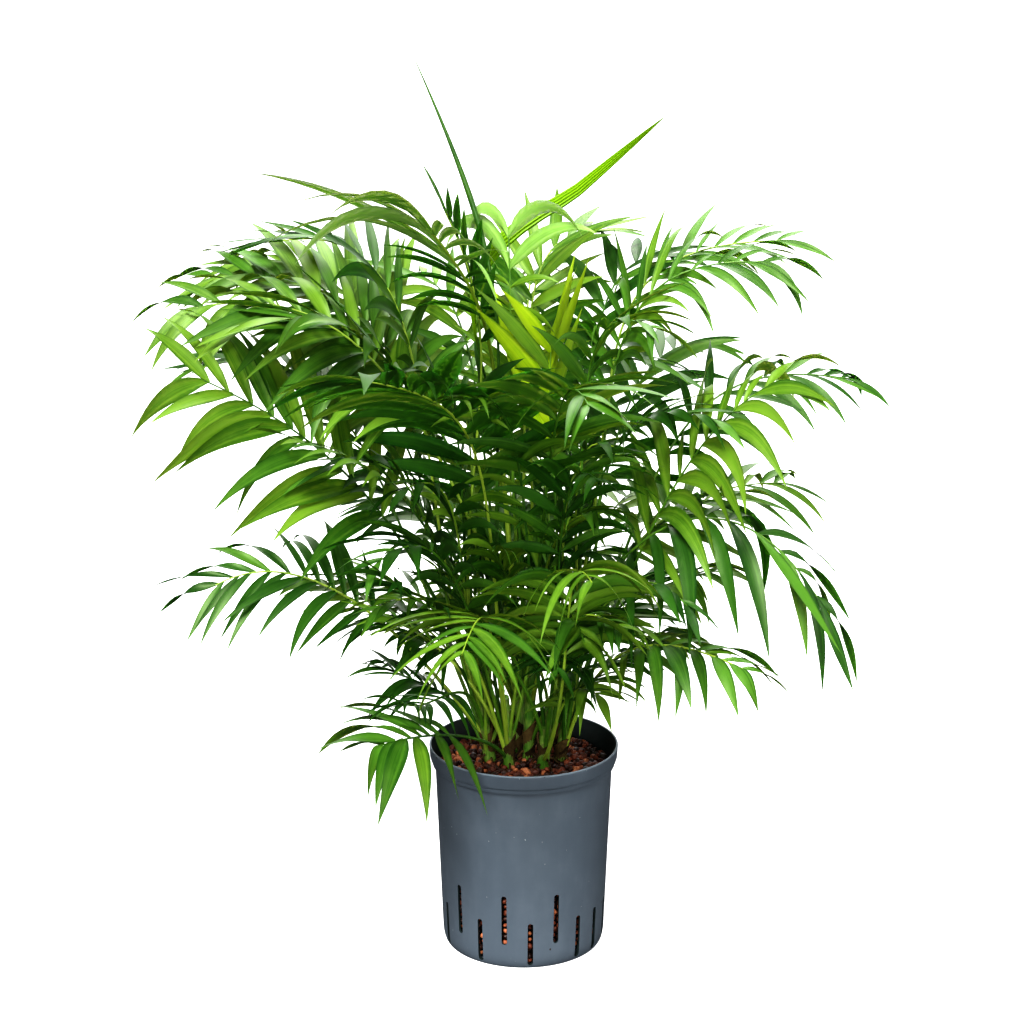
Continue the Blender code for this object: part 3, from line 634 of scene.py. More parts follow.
def dry_fibre():
    """Papery brown remains of old leaf feet, and the roots."""
    stops = (0.25, (0.012, 0.007, 0.003)), (0.50, (0.045, 0.028, 0.010)), (0.80, (0.110, 0.076, 0.026))
    grain, relief = (300.0, 4.0, 0.7), (0.0006, 1.0)
    return grained("dry_fibre", 0.2, grain, (0.7, 0.95), relief, *stops, own=0.5, weight=0.6)


def rib_green():
    finish = Finish("rib_green", specular_ior_level=0.5)
    streaks = finish.noise(40.0, 4.0, 0.6)
    shade = finish.sum((streaks, 0.5), (finish.attribute("shade"), 0.6))
    stops = (0.20, (0.014, 0.064, 0.004)), (0.50, (0.070, 0.175, 0.012)), (0.80, (0.260, 0.370, 0.040))
    relief = finish.noise(900.0, 2.0)
    return finish.done(finish.ramp(shade, *stops), (streaks, 0.32, 0.50), (relief, 0.0002, 0.5))


def leaf_finish(name, dark, light, gloss):
    """A leaflet's skin: lengthwise veins in low relief, with each leaflet in its own shade."""
    finish = Finish(
        name, specular_ior_level=0.45, subsurface_weight=0.12, subsurface_scale=0.0010,
        subsurface_radius=LEAF_GLOW, specular_tint=LEAF_SHEEN,
    )
    veins = finish.noise(1.0, 4.0, 0.70, (6.0, 0.4, 1.0), finish.blade())
    mottle, own = finish.noise(38.0, 3.0, 0.6), finish.attribute("shade")
    # the margin term darkens each edge: partly the leaflet's own darker margin, partly painted shade where
    # the edge curves away
    parts = (veins, 1.60), (mottle, 0.55), (own, 0.50), (finish.margin(0.55), -0.42)
    colour = finish.ramp(finish.sum(*parts, start=-0.74), (0.18, dark), (0.70, light))
    return finish.done(colour, (veins, gloss, gloss + 0.16), (veins, 0.00014, 0.7))


def leaf_finishes():
    """For each tone the upper side, the under side and the dry tip."""
    tip = Finish("dry_tip", roughness=0.8, specular_ior_level=0.2)
    browns = (0.35, (0.035, 0.018, 0.008)), (0.70, (0.150, 0.095, 0.040))
    tip.drive("Base Color", tip.ramp(tip.noise(300.0), *browns))
    finishes = {}
    for tone, (dark, light, under) in TONES.items():
        upper = leaf_finish(f"leaf_{tone}_upper", dark, light, 0.40)
        # the under side's paler, yellower colour is partly painted light shining through the leaf
        lower = leaf_finish(f"leaf_{tone}_under", tuple(UNDER_SHADE * part for part in under), under, 0.46)
        finishes[tone] = (upper, lower, tip.material)
    return finishes


# Pieces and the ways to make them


def put(name, data, place=(0, 0, 0), turn=(0, 0, 0)):
    """A new object in the scene."""
    made = bpy.data.objects.new(name, data)
    made.location, made.rotation_euler = place, turn
    bpy.context.scene.collection.objects.link(made)
    return made


def clear_selection():
    for chosen in list(bpy.context.selected_objects):
        chosen.select_set(False)


def new_shape(kind, **sizes):
    """One of Blender's own shapes, alone selected, with its place in its mesh."""
    clear_selection()
    getattr(bpy.ops.mesh, f"primitive_{kind}_add")(**sizes)
    bpy.ops.object.transform_apply(location=True, rotation=True, scale=True)
    return bpy.context.object


@contextlib.contextmanager
def editing(kind, selection="SELECT"):
    """Edit mode, with corners or edges to choose and all or none of them chosen."""
    bpy.ops.object.mode_set(mode="EDIT")
    bpy.ops.mesh.select_mode(type=kind)
    bpy.ops.mesh.select_all(action=selection)
    yield
    bpy.ops.object.mode_set(mode="OBJECT")


def finished(piece, degrees, name, material, slot, *nodes):
    """Smooths a piece but for edges sharper than the degrees, and hides the parts that it stands for."""
    piece.data.shade_smooth()
    piece.data.set_sharp_from_angle(angle=math.radians(degrees))
    piece.name = name
    piece.data.name = name
    piece.data.materials.clear()
    for part in material if isinstance(material, tuple) else (material,):
        piece.data.materials.append(part)
    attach(piece, "root")
    if nodes:
        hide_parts(*nodes)
    return piece


def turned_up(stops, sides):
    """A closed round body drawn up ring by ring. Each stop is the middle and the radius of a ring."""
    (middle, radius), *others = stops
    made = new_shape(
        "circle", vertices=sides, radius=radius, fill_type="NOTHING", location=tuple(middle)
    )
    with editing("EDGE"):
        for place, width in others:
            step, factor = tuple(np.subtract(place, middle)), width / radius
            bpy.ops.mesh.extrude_region_move(TRANSFORM_OT_translate={"value": step})
            bpy.ops.transform.resize(value=(factor, factor, 1.0), center_override=tuple(place))
            middle, radius = place, width
        bpy.ops.mesh.edge_face_add()
        bpy.ops.mesh.select_all(action="DESELECT")
        bpy.ops.mesh.select_non_manifold()
        bpy.ops.mesh.edge_face_add()
        bpy.ops.mesh.select_all(action="SELECT")
        bpy.ops.mesh.normals_make_consistent(inside=False)
    return made


class Heap:
    """Many small shapes joined in one mesh, with a shade for each."""

    def __init__(self):
        self.points, self.faces, self.slots = [], [], []
        self.shades, self.scars, self.blades = [], [], []

    def add(self, points, faces, shade=0.5, slots=None, blades=(), scars=()):
        first = len(self.points)
        self.points += np.asarray(points, float).tolist()
        self.faces += [tuple(first + corner for corner in face) for face in faces]
        self.shades += [shade] * len(points)
        self.slots += slots or [0] * len(faces)
        self.blades += blades
        self.scars += scars

    def piece(self, name, degrees, material, slot, *nodes):
        mesh = bpy.data.meshes.new(name)
        mesh.from_pydata(self.points, [], self.faces)
        mesh.polygons.foreach_set("material_index", self.slots)
        for label, values in (("shade", self.shades), ("scar", self.scars)):
            if values:
                mesh.attributes.new(label, "FLOAT", "POINT").data.foreach_set("value", values)
        if self.blades:
            corners = np.empty(len(mesh.loops), dtype=np.int32)
            mesh.loops.foreach_get("vertex_index", corners)
            places = np.array(self.blades)[corners]
            mesh.uv_layers.new(name="blade").data.foreach_set("uv", places.ravel())
        mesh.update()
        return finished(put(name, mesh), degrees, name, material, slot, *nodes)


def sheet_faces(wide, long, under):
    """Faces of a sheet of two layers, closed all round.

    It takes the number and the step of its corners both ways, and the step to the layer below.
    """
    (columns, aside), (rows, along) = wide, long
    faces, rims = [], []
    for column, row in itertools.product(range(columns - 1), range(rows - 1)):
        a = column * aside + row * along
        b, c, d = a + aside, a + aside + along, a + along
        faces += [(a, b, c, d), (under + b, under + a, under + d, under + c)]
    for column in range(columns - 1):
        a, far = column * aside, (rows - 1) * along
        rims += [(a + aside, a), (far + a, far + a + aside)]
    for row in range(rows - 1):
        a, far = row * along, (columns - 1) * aside
        rims += [(a, a + along), (far + a + along, far + a)]
    return faces + [(a, b, under + b, under + a) for a, b in rims]


# Pot


def body_radius(height):
    return BASE_RADIUS + (BODY_TOP_RADIUS - BASE_RADIUS) * height / COLLAR_FOOT


def foot_stops():
    """The rounding at the foot, a quarter of an ellipse."""
    width = body_radius(FOOT_ROUNDING) - FOOT_RADIUS
    for step in range(FOOT_STEPS + 1):
        turn = 0.5 * math.pi * step / FOOT_STEPS
        yield FOOT_RADIUS + width * math.sin(turn), FOOT_ROUNDING * (1 - math.cos(turn))


def pot_stops():
    """Up the outside, over the lip and down the inside."""
    body, collar, lip, inner = BODY_TOP_RADIUS, COLLAR_RADIUS, LIP_RADIUS, LIP_RADIUS - WALL
    foot, top, edge = COLLAR_FOOT, POT_HEIGHT, ROUNDING
    profile = (
        *foot_stops(), (body_radius(0.5 * foot), 0.5 * foot),
        (body, foot - 0.5 * edge), (body + 0.3 * edge, foot), (collar - edge, foot),
        (collar - 0.3 * edge, foot + 0.3 * edge), (collar, foot + edge),
        (collar + 0.0004, LIP_FOOT - edge), (collar + 0.0014, LIP_FOOT), (lip - 0.0006, LIP_FOOT + 0.0025),
        (lip - 0.0002, top - 3 * edge), (lip, top - 1.4 * edge), (lip - 0.3 * edge, top - 0.4 * edge),
        (lip - edge, top), (inner + 0.4 * edge, top), (inner, top - 0.5 * edge),
        (collar - WALL, LIP_FOOT - edge), (body - WALL, foot - 2 * edge),
        (body_radius(FOOT_ROUNDING) - WALL, FOOT_ROUNDING), (FOOT_RADIUS - WALL, FLOOR_THICKNESS),
    )
    return [((0.0, 0.0, height), radius) for radius, height in profile]


def add_slot_cutter(bearing, ends):
    """A bar with round ends that stands across the wall."""
    middle = spot(bearing, body_radius(ends[0]), ends[0] + SLOT_WIDTH / 2)
    turn = (0.0, math.pi / 2, math.radians(bearing))
    cutter = new_shape(
        "cylinder", vertices=SLOT_SIDES, radius=SLOT_WIDTH / 2, depth=8 * WALL,
        location=tuple(middle), rotation=turn,
    )
    with editing("VERT", "DESELECT"):
        for vert in bmesh.from_edit_mesh(cutter.data).verts:
            vert.select = bool(vert.co.z > middle[2] + HAIR)
        bpy.ops.transform.translate(value=(0.0, 0.0, ends[1] - ends[0] - SLOT_WIDTH))
    return cutter


def slot_places():
    """Bearing and ends of every slot."""
    for number in range(SLOTS):
        is_low = number % 2 == 0 or number == LOW_OUT_OF_TURN
        yield FIRST_SLOT_BEARING + number * 360 / SLOTS, LOW_SLOT if is_low else HIGH_SLOT


def add_pot():
    pot = turned_up(pot_stops(), POT_SIDES)
    cutters = [add_slot_cutter(bearing, ends) for bearing, ends in slot_places()]
    for cutter in cutters:
        cutter.select_set(True)
    bpy.context.view_layer.objects.active = cutters[0]
    bpy.ops.object.join()
    clear_selection()
    pot.select_set(True)
    bpy.context.view_layer.objects.active = pot
    cut = pot.modifiers.new("slots", "BOOLEAN")
    cut.object, cut.operation, cut.solver = cutters[0], "DIFFERENCE", "EXACT"
    bpy.ops.object.modifier_apply(modifier=cut.name)
    bpy.data.objects.remove(cutters[0])
    finished(pot, POT_EDGES, "pot_shell", (pot_plastic(), pot_inside_shade()), "pot_plastic", "pot")
    # inward faces below the top edge take the near-black finish, painted shade inside the pot
    for face in pot.data.polygons:
        inward = face.normal.x * face.center.x + face.normal.y * face.center.y < 0
        face.material_index = 1 if inward and face.center.z < POT_HEIGHT - 2 * ROUNDING else 0


# Clay pebbles


def pebble_shape():
    """Corners and faces of one round pebble, half its size 1."""
    made = new_shape("cube", size=1.2)
    with editing("EDGE"):
        bpy.ops.mesh.subdivide(number_cuts=2, smoothness=1.0)
    points = np.array([vert.co for vert in made.data.vertices])
    faces = [tuple(face.vertices) for face in made.data.polygons]
    bpy.data.objects.remove(made)
    return points / np.linalg.norm(points, axis=1).mean(), faces


def random_turn(chance):
    """A turn in space about an even random axis."""
    a, b, c, d = unit(np.array([chance.gauss(0, 1) for _ in range(4)]))
    return np.array((
        (1 - 2 * (c * c + d * d), 2 * (b * c - a * d), 2 * (b * d + a * c)),
        (2 * (b * c + a * d), 1 - 2 * (b * b + d * d), 2 * (c * d - a * b)),
        (2 * (b * d - a * c), 2 * (c * d + a * b), 1 - 2 * (b * b + c * c)),
    ))


def add_pebble(heap, shape, place, chance, sizes):
    """One pebble, longer than wide and a little lumpy."""
    points, faces = shape
    size, width, depth = (chance.uniform(*span) for span in (sizes, PEBBLE_WIDTHS, PEBBLE_DEPTHS))
    sides = size * np.array((1.0, width, depth))
    waves = points @ np.array([chance.uniform(-PEBBLE_WAVES, PEBBLE_WAVES) for _ in range(3)])
    lumps = 1 + PEBBLE_LUMPS * np.sin(waves + chance.uniform(0, 6))
    shaped = points * lumps[:, None] * sides
    heap.add(shaped @ random_turn(chance).T + place, faces, chance.random())


def pebble_bed(chance):
    """Places on the surface, in rows set off by half a step, in two layers."""
    for layer, (step, drop) in enumerate(PEBBLE_LAYERS):
        rows = int(PEBBLE_REACH / step) + 1
        for row, column in itertools.product(range(-rows, rows + 1), repeat=2):
            across = (column + 0.5 * (row % 2) + LAYER_SHIFT * layer) * step
            place = np.array((across, row * step * PEBBLE_ROW, SOIL_TOP - drop))
            place += [chance.uniform(-PEBBLE_SHIFT, PEBBLE_SHIFT) for _ in range(3)]
            if math.hypot(place[0], place[1]) < PEBBLE_REACH:
                yield place


def slot_bed(chance):
    """Places behind each slot, close against the wall."""
    step, largest = SLOT_PEBBLE_STEP, SLOT_PEBBLE_SIZES[1]
    for bearing, (low, high) in slot_places():
        count = round((high - low) / step) + 1
        for number, column in itertools.product(range(count), (-1, 0, 1)):
            height = low + number * step + 0.5 * step * (column % 2)
            height = max(height, FLOOR_THICKNESS + largest)
            wall = min(FOOT_RADIUS, body_radius(height)) if height < FOOT_ROUNDING else body_radius(height)
            inner = wall - WALL - largest * chance.uniform(*SLOT_PEBBLE_INSETS)
            yield spot(bearing + math.degrees(column * step / inner), inner, height)


def add_pebbles():
    chance = random.Random(SEED)
    shape = pebble_shape()
    heaps = Heap(), Heap()
    for heap, bed, sizes in zip(heaps, (pebble_bed, slot_bed), (PEBBLE_SIZES, SLOT_PEBBLE_SIZES)):
        for place in bed(chance):
            add_pebble(heap, shape, place, chance, sizes)
    heaps[0].piece("pebble_bed", PEBBLE_EDGES, clay("clay_on_top"), "clay_granulate")
    heaps[1].piece(
        "pebbles_behind_slots", PEBBLE_EDGES, clay("clay_behind_slots"), "clay_granulate"
    )
    top, (edge, rim, crown, middle) = SOIL_TOP, CORE_DROPS
    core_stops = (
        (FLOOR_THICKNESS + GAP, FOOT_RADIUS - WALL - CORE_MARGIN),
        (0.6 * top, body_radius(0.6 * top) - WALL - CORE_MARGIN),
        (top - edge, body_radius(top) - WALL - CORE_MARGIN),
        (top - rim, PEBBLE_REACH), (top - crown, PEBBLE_REACH), (top - middle, 0.5 * PEBBLE_REACH),
    )
    core = turned_up([((0, 0, height), radius) for height, radius in core_stops], POT_SIDES // 2)
    # the dark core is painted shade in the gaps between the pebbles
    finished(core, CORE_EDGES, "granulate_core", painted_shade_core(), "clay_granulate", "granulate")


# Canes


def cane_axis(cane, height):
    """Centre of a cane at a height above the granulate."""
    bearing, distance, _, lean = cane
    out = distance + height * math.tan(math.radians(lean))
    return CLUMP_MIDDLE + spot(bearing, out, SOIL_TOP + height)


def cane_radius(cane, height):
    stops = 0.0, CANE_FLARE, *(share * cane[2] for share, _ in CANE_TAPER), cane[2]
    middle = (part * CANE_RADIUS for _, part in CANE_TAPER)
    return float(np.interp(height, stops, (CANE_FOOT_RADIUS, CANE_RADIUS, *middle, CANE_TIP_RADIUS)))


def cane_rings(cane):
    """Heights and swelling along a cane: four tight rings at every leaf scar."""
    top, rings, scar = cane[2], list(CANE_START), FIRST_SCAR
    while scar < top - 2 * RING_HALF_HEIGHT:
        rings += [(scar + part * RING_HALF_HEIGHT, swell) for part, swell in SCAR_RINGS]
        rings.append((scar + 0.5 * RING_SPACING, 1.0))
        scar += RING_SPACING
    rings = [ring for ring in rings if ring[0] < top - LEAST_RING_STEP]
    return rings + [(top - depth, swell) for depth, swell in CANE_END]


def add_canes():
    finish = cane_green()
    for cane, node in zip(CANES, CANE_NODES):
        rings = cane_rings(cane)
        stops = [
            (cane_axis(cane, height), cane_radius(cane, max(0.0, height)) * swell)
            for height, swell in rings
        ]
        made = turned_up(stops, CANE_SIDES)
        scars = [SCAR_PALENESS * (swell == RING_SWELL) for _, swell in rings for _ in range(CANE_SIDES)]
        made.data.attributes.new("scar", "FLOAT", "POINT").data.foreach_set("value", scars)
        finished(made, LEAF_EDGES, f"ringed_{node}", finish, "cane_green", node)


# Ribs and the room for them


class Room:
    """The surfaces placed so far, to try a new piece against."""

    def __init__(self):
        self.lows, self.highs, self.trees, self.ribs = [], [], [], []

    def add(self, points, faces, rib=None):
        points = np.asarray(points)
        self.lows.append(points.min(axis=0))
        self.highs.append(points.max(axis=0))
        self.trees.append(BVHTree.FromPolygons(points.tolist(), faces))
        self.ribs.append(rib)

    def is_clear(self, points, faces, own_rib=None):
        """Whether nothing placed so far is in the way, apart from the rib that a leaflet grows on."""
        points = np.asarray(points)
        near = (np.array(self.lows) <= points.max(axis=0)) & (np.array(self.highs) >= points.min(axis=0))
        tree = BVHTree.FromPolygons(points.tolist(), faces)
        return not any(
            tree.overlap(self.trees[index])
            for index in np.flatnonzero(near.all(axis=1))
            if own_rib is None or self.ribs[index] is not own_rib
        )


def rib_curve(row, foot, bow, shift):
    """Control points of the rib, from its foot to its end."""
    tip = spot(row.bearing, row.reach, row.height)
    aside = np.cross(UP, unit((tip - foot) * (1, 1, 0)))
    tip = tip + shift * aside
    out = unit((tip - foot) * (1, 1, 0))
    lean = LEVEL_LEAN + LEAN_BY_REACH * row.reach + LEAN_BY_HEIGHT * row.height
    lean = math.radians(max(LEAST_LEAN, lean + row.lean))
    nod = math.radians(row.nod)
    span = np.linalg.norm(tip - foot) * row.arch
    start = foot + (math.sin(lean) * out + math.cos(lean) * UP) * span * START_PULL + aside * bow
    end = tip - (math.cos(nod) * out - math.sin(nod) * UP) * span * END_PULL + aside * bow
    return np.array((foot, start, end, tip))


class Rib:
    """Places, directions and radii along a rib, by the distance from its foot."""

    def __init__(self, row, foot, bow=0.0, shift=0.0):
        t = np.linspace(0, 1, PATH_STEPS + 1)[:, None]
        a, b, c, d = rib_curve(row, foot, bow, shift)
        self.row = row
        self.path = (1 - t) ** 3 * a + 3 * (1 - t) ** 2 * t * b + 3 * (1 - t) * t**2 * c + t**3 * d
        steps = np.linalg.norm(np.diff(self.path, axis=0), axis=1)
        self.run = np.concatenate(((0.0,), np.cumsum(steps)))
        self.length = float(self.run[-1])
        self.pairs = self.pair_places(PAIR_SPACING, FEWEST_PAIRS, MOST_PAIRS)
        self.stops = self.ring_places()

    def place(self, distance):
        return np.array([np.interp(distance, self.run, self.path[:, axis]) for axis in range(3)])

    def frame(self, distance):
        """Direction of the rib, the way to its left side and the way up from its upper face."""
        ahead = unit(self.place(distance + FRAME_STEP) - self.place(distance - FRAME_STEP))
        turn = math.radians(self.row.bearing)
        flat = np.array((-math.sin(turn), math.cos(turn), 0.0))
        left = unit(flat - (flat @ ahead) * ahead)
        roll = math.radians(float(np.interp(distance / self.length, ROLL_SHARES, (0.0, self.row.roll))))
        return ahead, *turned(left, np.cross(ahead, left), math.cos(roll), math.sin(roll))

    def radius(self, distance):
        profile = SPEAR_PROFILE if self.row is SPEAR else RIB_PROFILE
        return float(np.interp(distance / self.length, *profile))

    def ring(self, distance, fatter=0.0):
        """Left, right and keel corner of the rib's section."""
        _, left, over = self.frame(distance)
        middle, radius = self.place(distance) + fatter * over, self.radius(distance) + fatter
        return middle + radius * left, middle - radius * left, middle - (RIB_KEEL * radius + fatter) * over

    def pair_places(self, spacing, fewest, most):
        """Where pairs of leaflets stand, about a spacing apart."""
        leafy = self.length * LEAFY_SHARE
        count = max(fewest, min(most, round(leafy / spacing)))
        places = np.linspace(self.length - leafy, self.length - LEAF_ROOT, count)
        kept = math.ceil(self.row.pairs * PAIR_SPACING / spacing)
        return places[max(0, count - kept) :]

    def ring_places(self):
        """Where the solid's sections lie: along the bare part, then two at each pair."""
        bare = self.pairs[0] - LEAF_ROOT if len(self.pairs) else self.length * SPEAR_POINT_SHARE
        steps = PETIOLE_STEPS if len(self.pairs) else SPEAR_STEPS
        roots = [place + side * LEAF_ROOT / 2 for place in self.pairs for side in (-1, 1)]
        return [*np.linspace(0, bare, steps + 1), *roots]

    def shape(self, fatter=0.0):
        """The solid's rib: a three-sided tube with a closed foot, drawn to a point."""
        points = [corner for stop in self.stops for corner in self.ring(stop, fatter)]
        faces = [(1, 0, 2)]
        for a in range(0, len(points) - 3, 3):
            b = a + 3
            faces += [(a + 1, b + 1, b, a), (a, b, b + 2, a + 2), (b + 1, a + 1, a + 2, b + 2)]
        a, tip = len(points) - 3, len(points)
        faces += [(a + 1, tip, a), (a, tip, a + 2), (a + 2, tip, a + 1)]
        return points + [self.place(self.length)], faces


def canes_for(row, load):
    """The canes nearest to the frond's side of the clump, each frond they have already at a cost."""
    side = spot(row.bearing, min(CLUMP_RADIUS, row.reach / 4))

    def cost(cane):
        return np.linalg.norm(spot(cane[0], cane[1]) - side) + FRONDS_SPREAD_COST * load[cane]

    return sorted(CANES, key=cost)[:CANES_TRIED]


def foot_heights(row, cane):
    """The taller a frond, the higher its foot on the cane, as far as there is room."""
    (lowest, highest), (low, high) = FOOT_SHARES, FROND_HEIGHTS
    share = lowest + (highest - lowest) * (row.height - low) / (high - low)
    return [cane[2] * min(highest, max(lowest, share + change)) for change in FOOT_CHANGES]


def foot_on(cane, height, row, turn):
    """A point just clear of the cane's side, towards the frond's tip or turned from there."""
    axis = cane_axis(cane, height)
    way = (spot(row.bearing, row.reach) - axis) * (1, 1, 0)
    bearing = math.degrees(math.atan2(way[1], way[0])) + turn
    return axis + spot(bearing, cane_radius(cane, height) + GAP)


def place_rib(row, load, room, shifts=SHIFTS, bows=BOWS):
    """The first try that clears every piece placed so far, with the cane that it grows on."""
    canes = canes_for(row, load)
    for shift, bow, cane, turn in itertools.product(shifts, bows, canes, FOOT_TURNS):
        for height in foot_heights(row, cane):
            rib = Rib(row, foot_on(cane, height, row, turn), bow, shift)
            if room.is_clear(*rib.shape(TEST_GAP)):
                room.add(*rib.shape(), rib)
                load[cane] += 1
                rib.cane, rib.cane_height = cane, height
                return rib
    return None


def tube(heap, middles, rights, overs, radii, sides, shade):
    """A round tube with closed ends round a line of points."""
    turns = 2 * np.pi * np.arange(sides) / sides
    points = [
        middle + radius * (math.cos(turn) * right + math.sin(turn) * over)
        for middle, right, over, radius in zip(middles, rights, overs, radii)
        for turn in turns
    ]
    faces = [tuple(range(sides))[::-1]]
    for ring, side in itertools.product(range(len(radii) - 1), range(sides)):
        low, high, beside = ring * sides, (ring + 1) * sides, (side + 1) % sides
        faces.append((low + side, low + beside, high + beside, high + side))
    faces.append(tuple(range(len(points) - sides, len(points))))
    heap.add(points, faces, shade)


def add_fine_rib(heap, rib, shade, stoutness=1.0):
    """The rib as a smooth round stalk."""
    distances = np.linspace(0.0, rib.length - FINE_RIB_END, FINE_RIB_RINGS)
    _, lefts, overs = zip(*(rib.frame(distance) for distance in distances))
    middles = [rib.place(distance) for distance in distances]
    radii = [stoutness * rib.radius(distance) for distance in distances]
    tube(heap, middles, [-left for left in lefts], overs, radii, FINE_RIB_SIDES, shade)


def add_sheath(heap, cane, top, front, chance, flare=0.0):
    """A leaf's foot, wrapped round its cane below the height top and open opposite the leaf."""
    low = max(0.0, top - SHEATH_HEIGHT * chance.uniform(*SHEATH_HEIGHTS))
    levels = np.linspace(low, top + SHEATH_RIM, SHEATH_LEVELS)
    turns = np.linspace(-SHEATH_WRAP * math.pi, SHEATH_WRAP * math.pi, SHEATH_SIDES)
    (thin, thick), (high, wide) = SHEATH_SWELL, SHEATH_BORDERS
    outer, inner, scars = [], [], []
    for (level, height), turn in itertools.product(enumerate(levels), turns):
        share, side = level / (SHEATH_LEVELS - 1), math.cos(turn)
        slant = SHEATH_SLANT * share * (side - SHEATH_DROP)
        swell = SHEATH_WALL * (thin + thick * share * (0.5 + 0.5 * side))
        radius = cane_radius(cane, height) + flare * share**2
        for points, gap in ((outer, swell), (inner, SHEATH_GAP * swell)):
            away = spot(math.degrees(front + turn), radius + gap)
            points.append(cane_axis(cane, height + slant) + away)
        border = max(share - high, abs(turn) / math.pi - wide, 0.0)
        scars.append(min(1.0, BORDER_PALENESS * border))
    faces = sheet_faces((SHEATH_SIDES, 1), (SHEATH_LEVELS, SHEATH_SIDES), len(outer))
    heap.add(outer + inner, faces, chance.random(), scars=scars + scars)


def add_root(heap, cane, bearing, chance):
    """A short thick root that arches from the foot of a cane into the pebbles."""
    shares = np.linspace(0, 1, ROOT_STEPS)
    reach, rise = chance.uniform(*ROOT_REACHES), chance.uniform(*ROOT_RISES)
    start, fall = cane_axis(cane, rise), rise + ROOT_DEPTH
    middles = np.array([
        start + spot(bearing, CANE_RADIUS + reach * share) - fall * share**2 * UP for share in shares
    ])
    right, radii = spot(bearing - 90, 1), np.interp(shares, (0, 1), ROOT_RADII)
    overs = np.cross(right, units(np.gradient(middles, axis=0)))
    tube(heap, middles, [right] * ROOT_STEPS, overs, radii, ROOT_SIDES, chance.random())


def add_dry_parts():
    chance = random.Random(SEED)
    sheaths, roots = Heap(), Heap()
    for cane in CANES:
        for _ in range(OLD_SHEATHS):
            top, front = chance.uniform(*OLD_SHEATH_TOPS), chance.uniform(-math.pi, math.pi)
            add_sheath(sheaths, cane, top, front, chance, OLD_SHEATH_FLARE)
        for number in range(ROOTS):
            add_root(roots, cane, 360 * (number + chance.uniform(-ROOT_TURN, ROOT_TURN)) / ROOTS, chance)
    finish = dry_fibre()
    sheaths.piece("old_sheaths", LEAF_EDGES, finish, "cane_green")
    roots.piece("roots", LEAF_EDGES, finish, "cane_green")


# Leaflets


def leaf_line(rib, row, distance, share, sign, tries, whims):
    """Middle line of a leaflet, with the way across and over it at each station, and its length."""
    droop, shorter, turn = tries
    ahead, left, over = rib.frame(distance)
    last = min(TIP_SPREAD, row.spread)
    angle = math.radians(row.spread - (row.spread - last) * share - turn - whims["turn"])
    way = unit(math.cos(angle) * ahead + math.sin(angle) * sign * left + whims["lift"] * over)
    length = row.leaf * (1 - LENGTH_FALL * (share - LONGEST_SHARE) ** 2) * shorter * whims["length"]
    along = (np.arange(LEAF_STEPS) + 0.5) / LEAF_STEPS
    ways = units(way - row.droop * droop * whims["droop"] * along[:, None] ** DROOP_POWER * UP)
    steps, stations = np.arange(LEAF_STEPS + 1), np.linspace(0, LEAF_STEPS, LEAF_STATIONS + 1)

    def between(values, stops):
        return np.stack([np.interp(stations, stops, values[:, axis]) for axis in range(3)], axis=1)

    path = np.concatenate((np.zeros((1, 3)), np.cumsum(ways, axis=0))) * length / LEAF_STEPS
    line = between(rib.place(distance) + path, steps)
    headings = units(between(ways, steps[:-1] + 0.5))
    across = units(sign * (ahead - (headings @ ahead)[:, None] * headings))
    shares = np.linspace(0, 1, LEAF_STATIONS + 1)[:, None]
    line = line + whims["bend"] * length * shares**2 * across
    twist = math.radians(whims["twist"]) * shares
    return line, *turned(across, np.cross(across, headings), np.cos(twist), np.sin(twist)), length


def leaf_widths(width):
    """Half width at each station but the tip: a narrow root, widest before the middle, a long point."""
    shares, (place, point) = np.arange(LEAF_STATIONS) / LEAF_STATIONS, BLADE_OUTLINE
    return 0.5 * width * np.maximum(ROOT_WIDTH * (1 - shares), np.sin(np.pi * shares**place) ** point)


def leaf_ribbon(line, across, widths):
    """The leaflet as a plain ribbon without its root, to try it for room."""
    chosen = [*range(1, LEAF_STATIONS, 2), LEAF_STATIONS - 1]
    points = []
    for station in chosen:
        half = (widths[station] + TEST_GAP) * across[station]
        points += [line[station] - half, line[station] + half]
    last = len(points)
    faces = [(a, a + 1, a + 3, a + 2) for a in range(0, last - 2, 2)]
    return [*points, line[-1]], [*faces, (last - 2, last - 1, last)]


def leaf_shape(line, across, overs, widths, fold, dry_tip):
    """Corners, faces, material slots and blade coordinates of a leaflet with two sides."""
    points, blades = [], []
    for station, (middle, right, over, width) in enumerate(zip(line, across, overs, widths)):
        share = station / LEAF_STATIONS
        lift = fold * (BLADE_FOLD + (ROOT_FOLD - BLADE_FOLD) * max(0.0, 1 - FOLD_FADE * share))
        for side in LEAF_COLUMNS:
            rise = width * lift * (abs(side) ** FOLD_POWER - FOLD_DROP)
            points.append(middle + width * side * right + rise * over)
            blades.append((0.5 + 0.5 * side, share))
        keel = width * lift * -FOLD_DROP - LEAF_THICKNESS * (ROOT_THICKNESS - share)
        points.append(middle + keel * over)
        blades.append((0.5, share))
    tip = len(points)
    faces, slots = [(4, 3, 2, 1, 0, 5)], [1]
    for a in range(0, tip - 6, 6):
        b = a + 6
        faces += [(a + side, a + side + 1, b + side + 1, b + side) for side in range(4)]
        faces += [(a, b, b + 5, a + 5), (a + 5, b + 5, b + 4, a + 4)]
        slots += [2] * 6 if dry_tip and b == tip - 6 else [0, 0, 0, 0, 1, 1]
    a = tip - 6
    faces += [(a + side, a + side + 1, tip) for side in range(4)]
    faces += [(a, tip, a + 5), (a + 5, tip, a + 4)]
    slots += [2] * 6 if dry_tip else [0, 0, 0, 0, 1, 1]
    return [*points, line[-1]], faces, slots, [*blades, (0.5, 1.0)]


def factor_for(name, groups):
    return next((factor for factor, names in groups if name in names), 1.0)


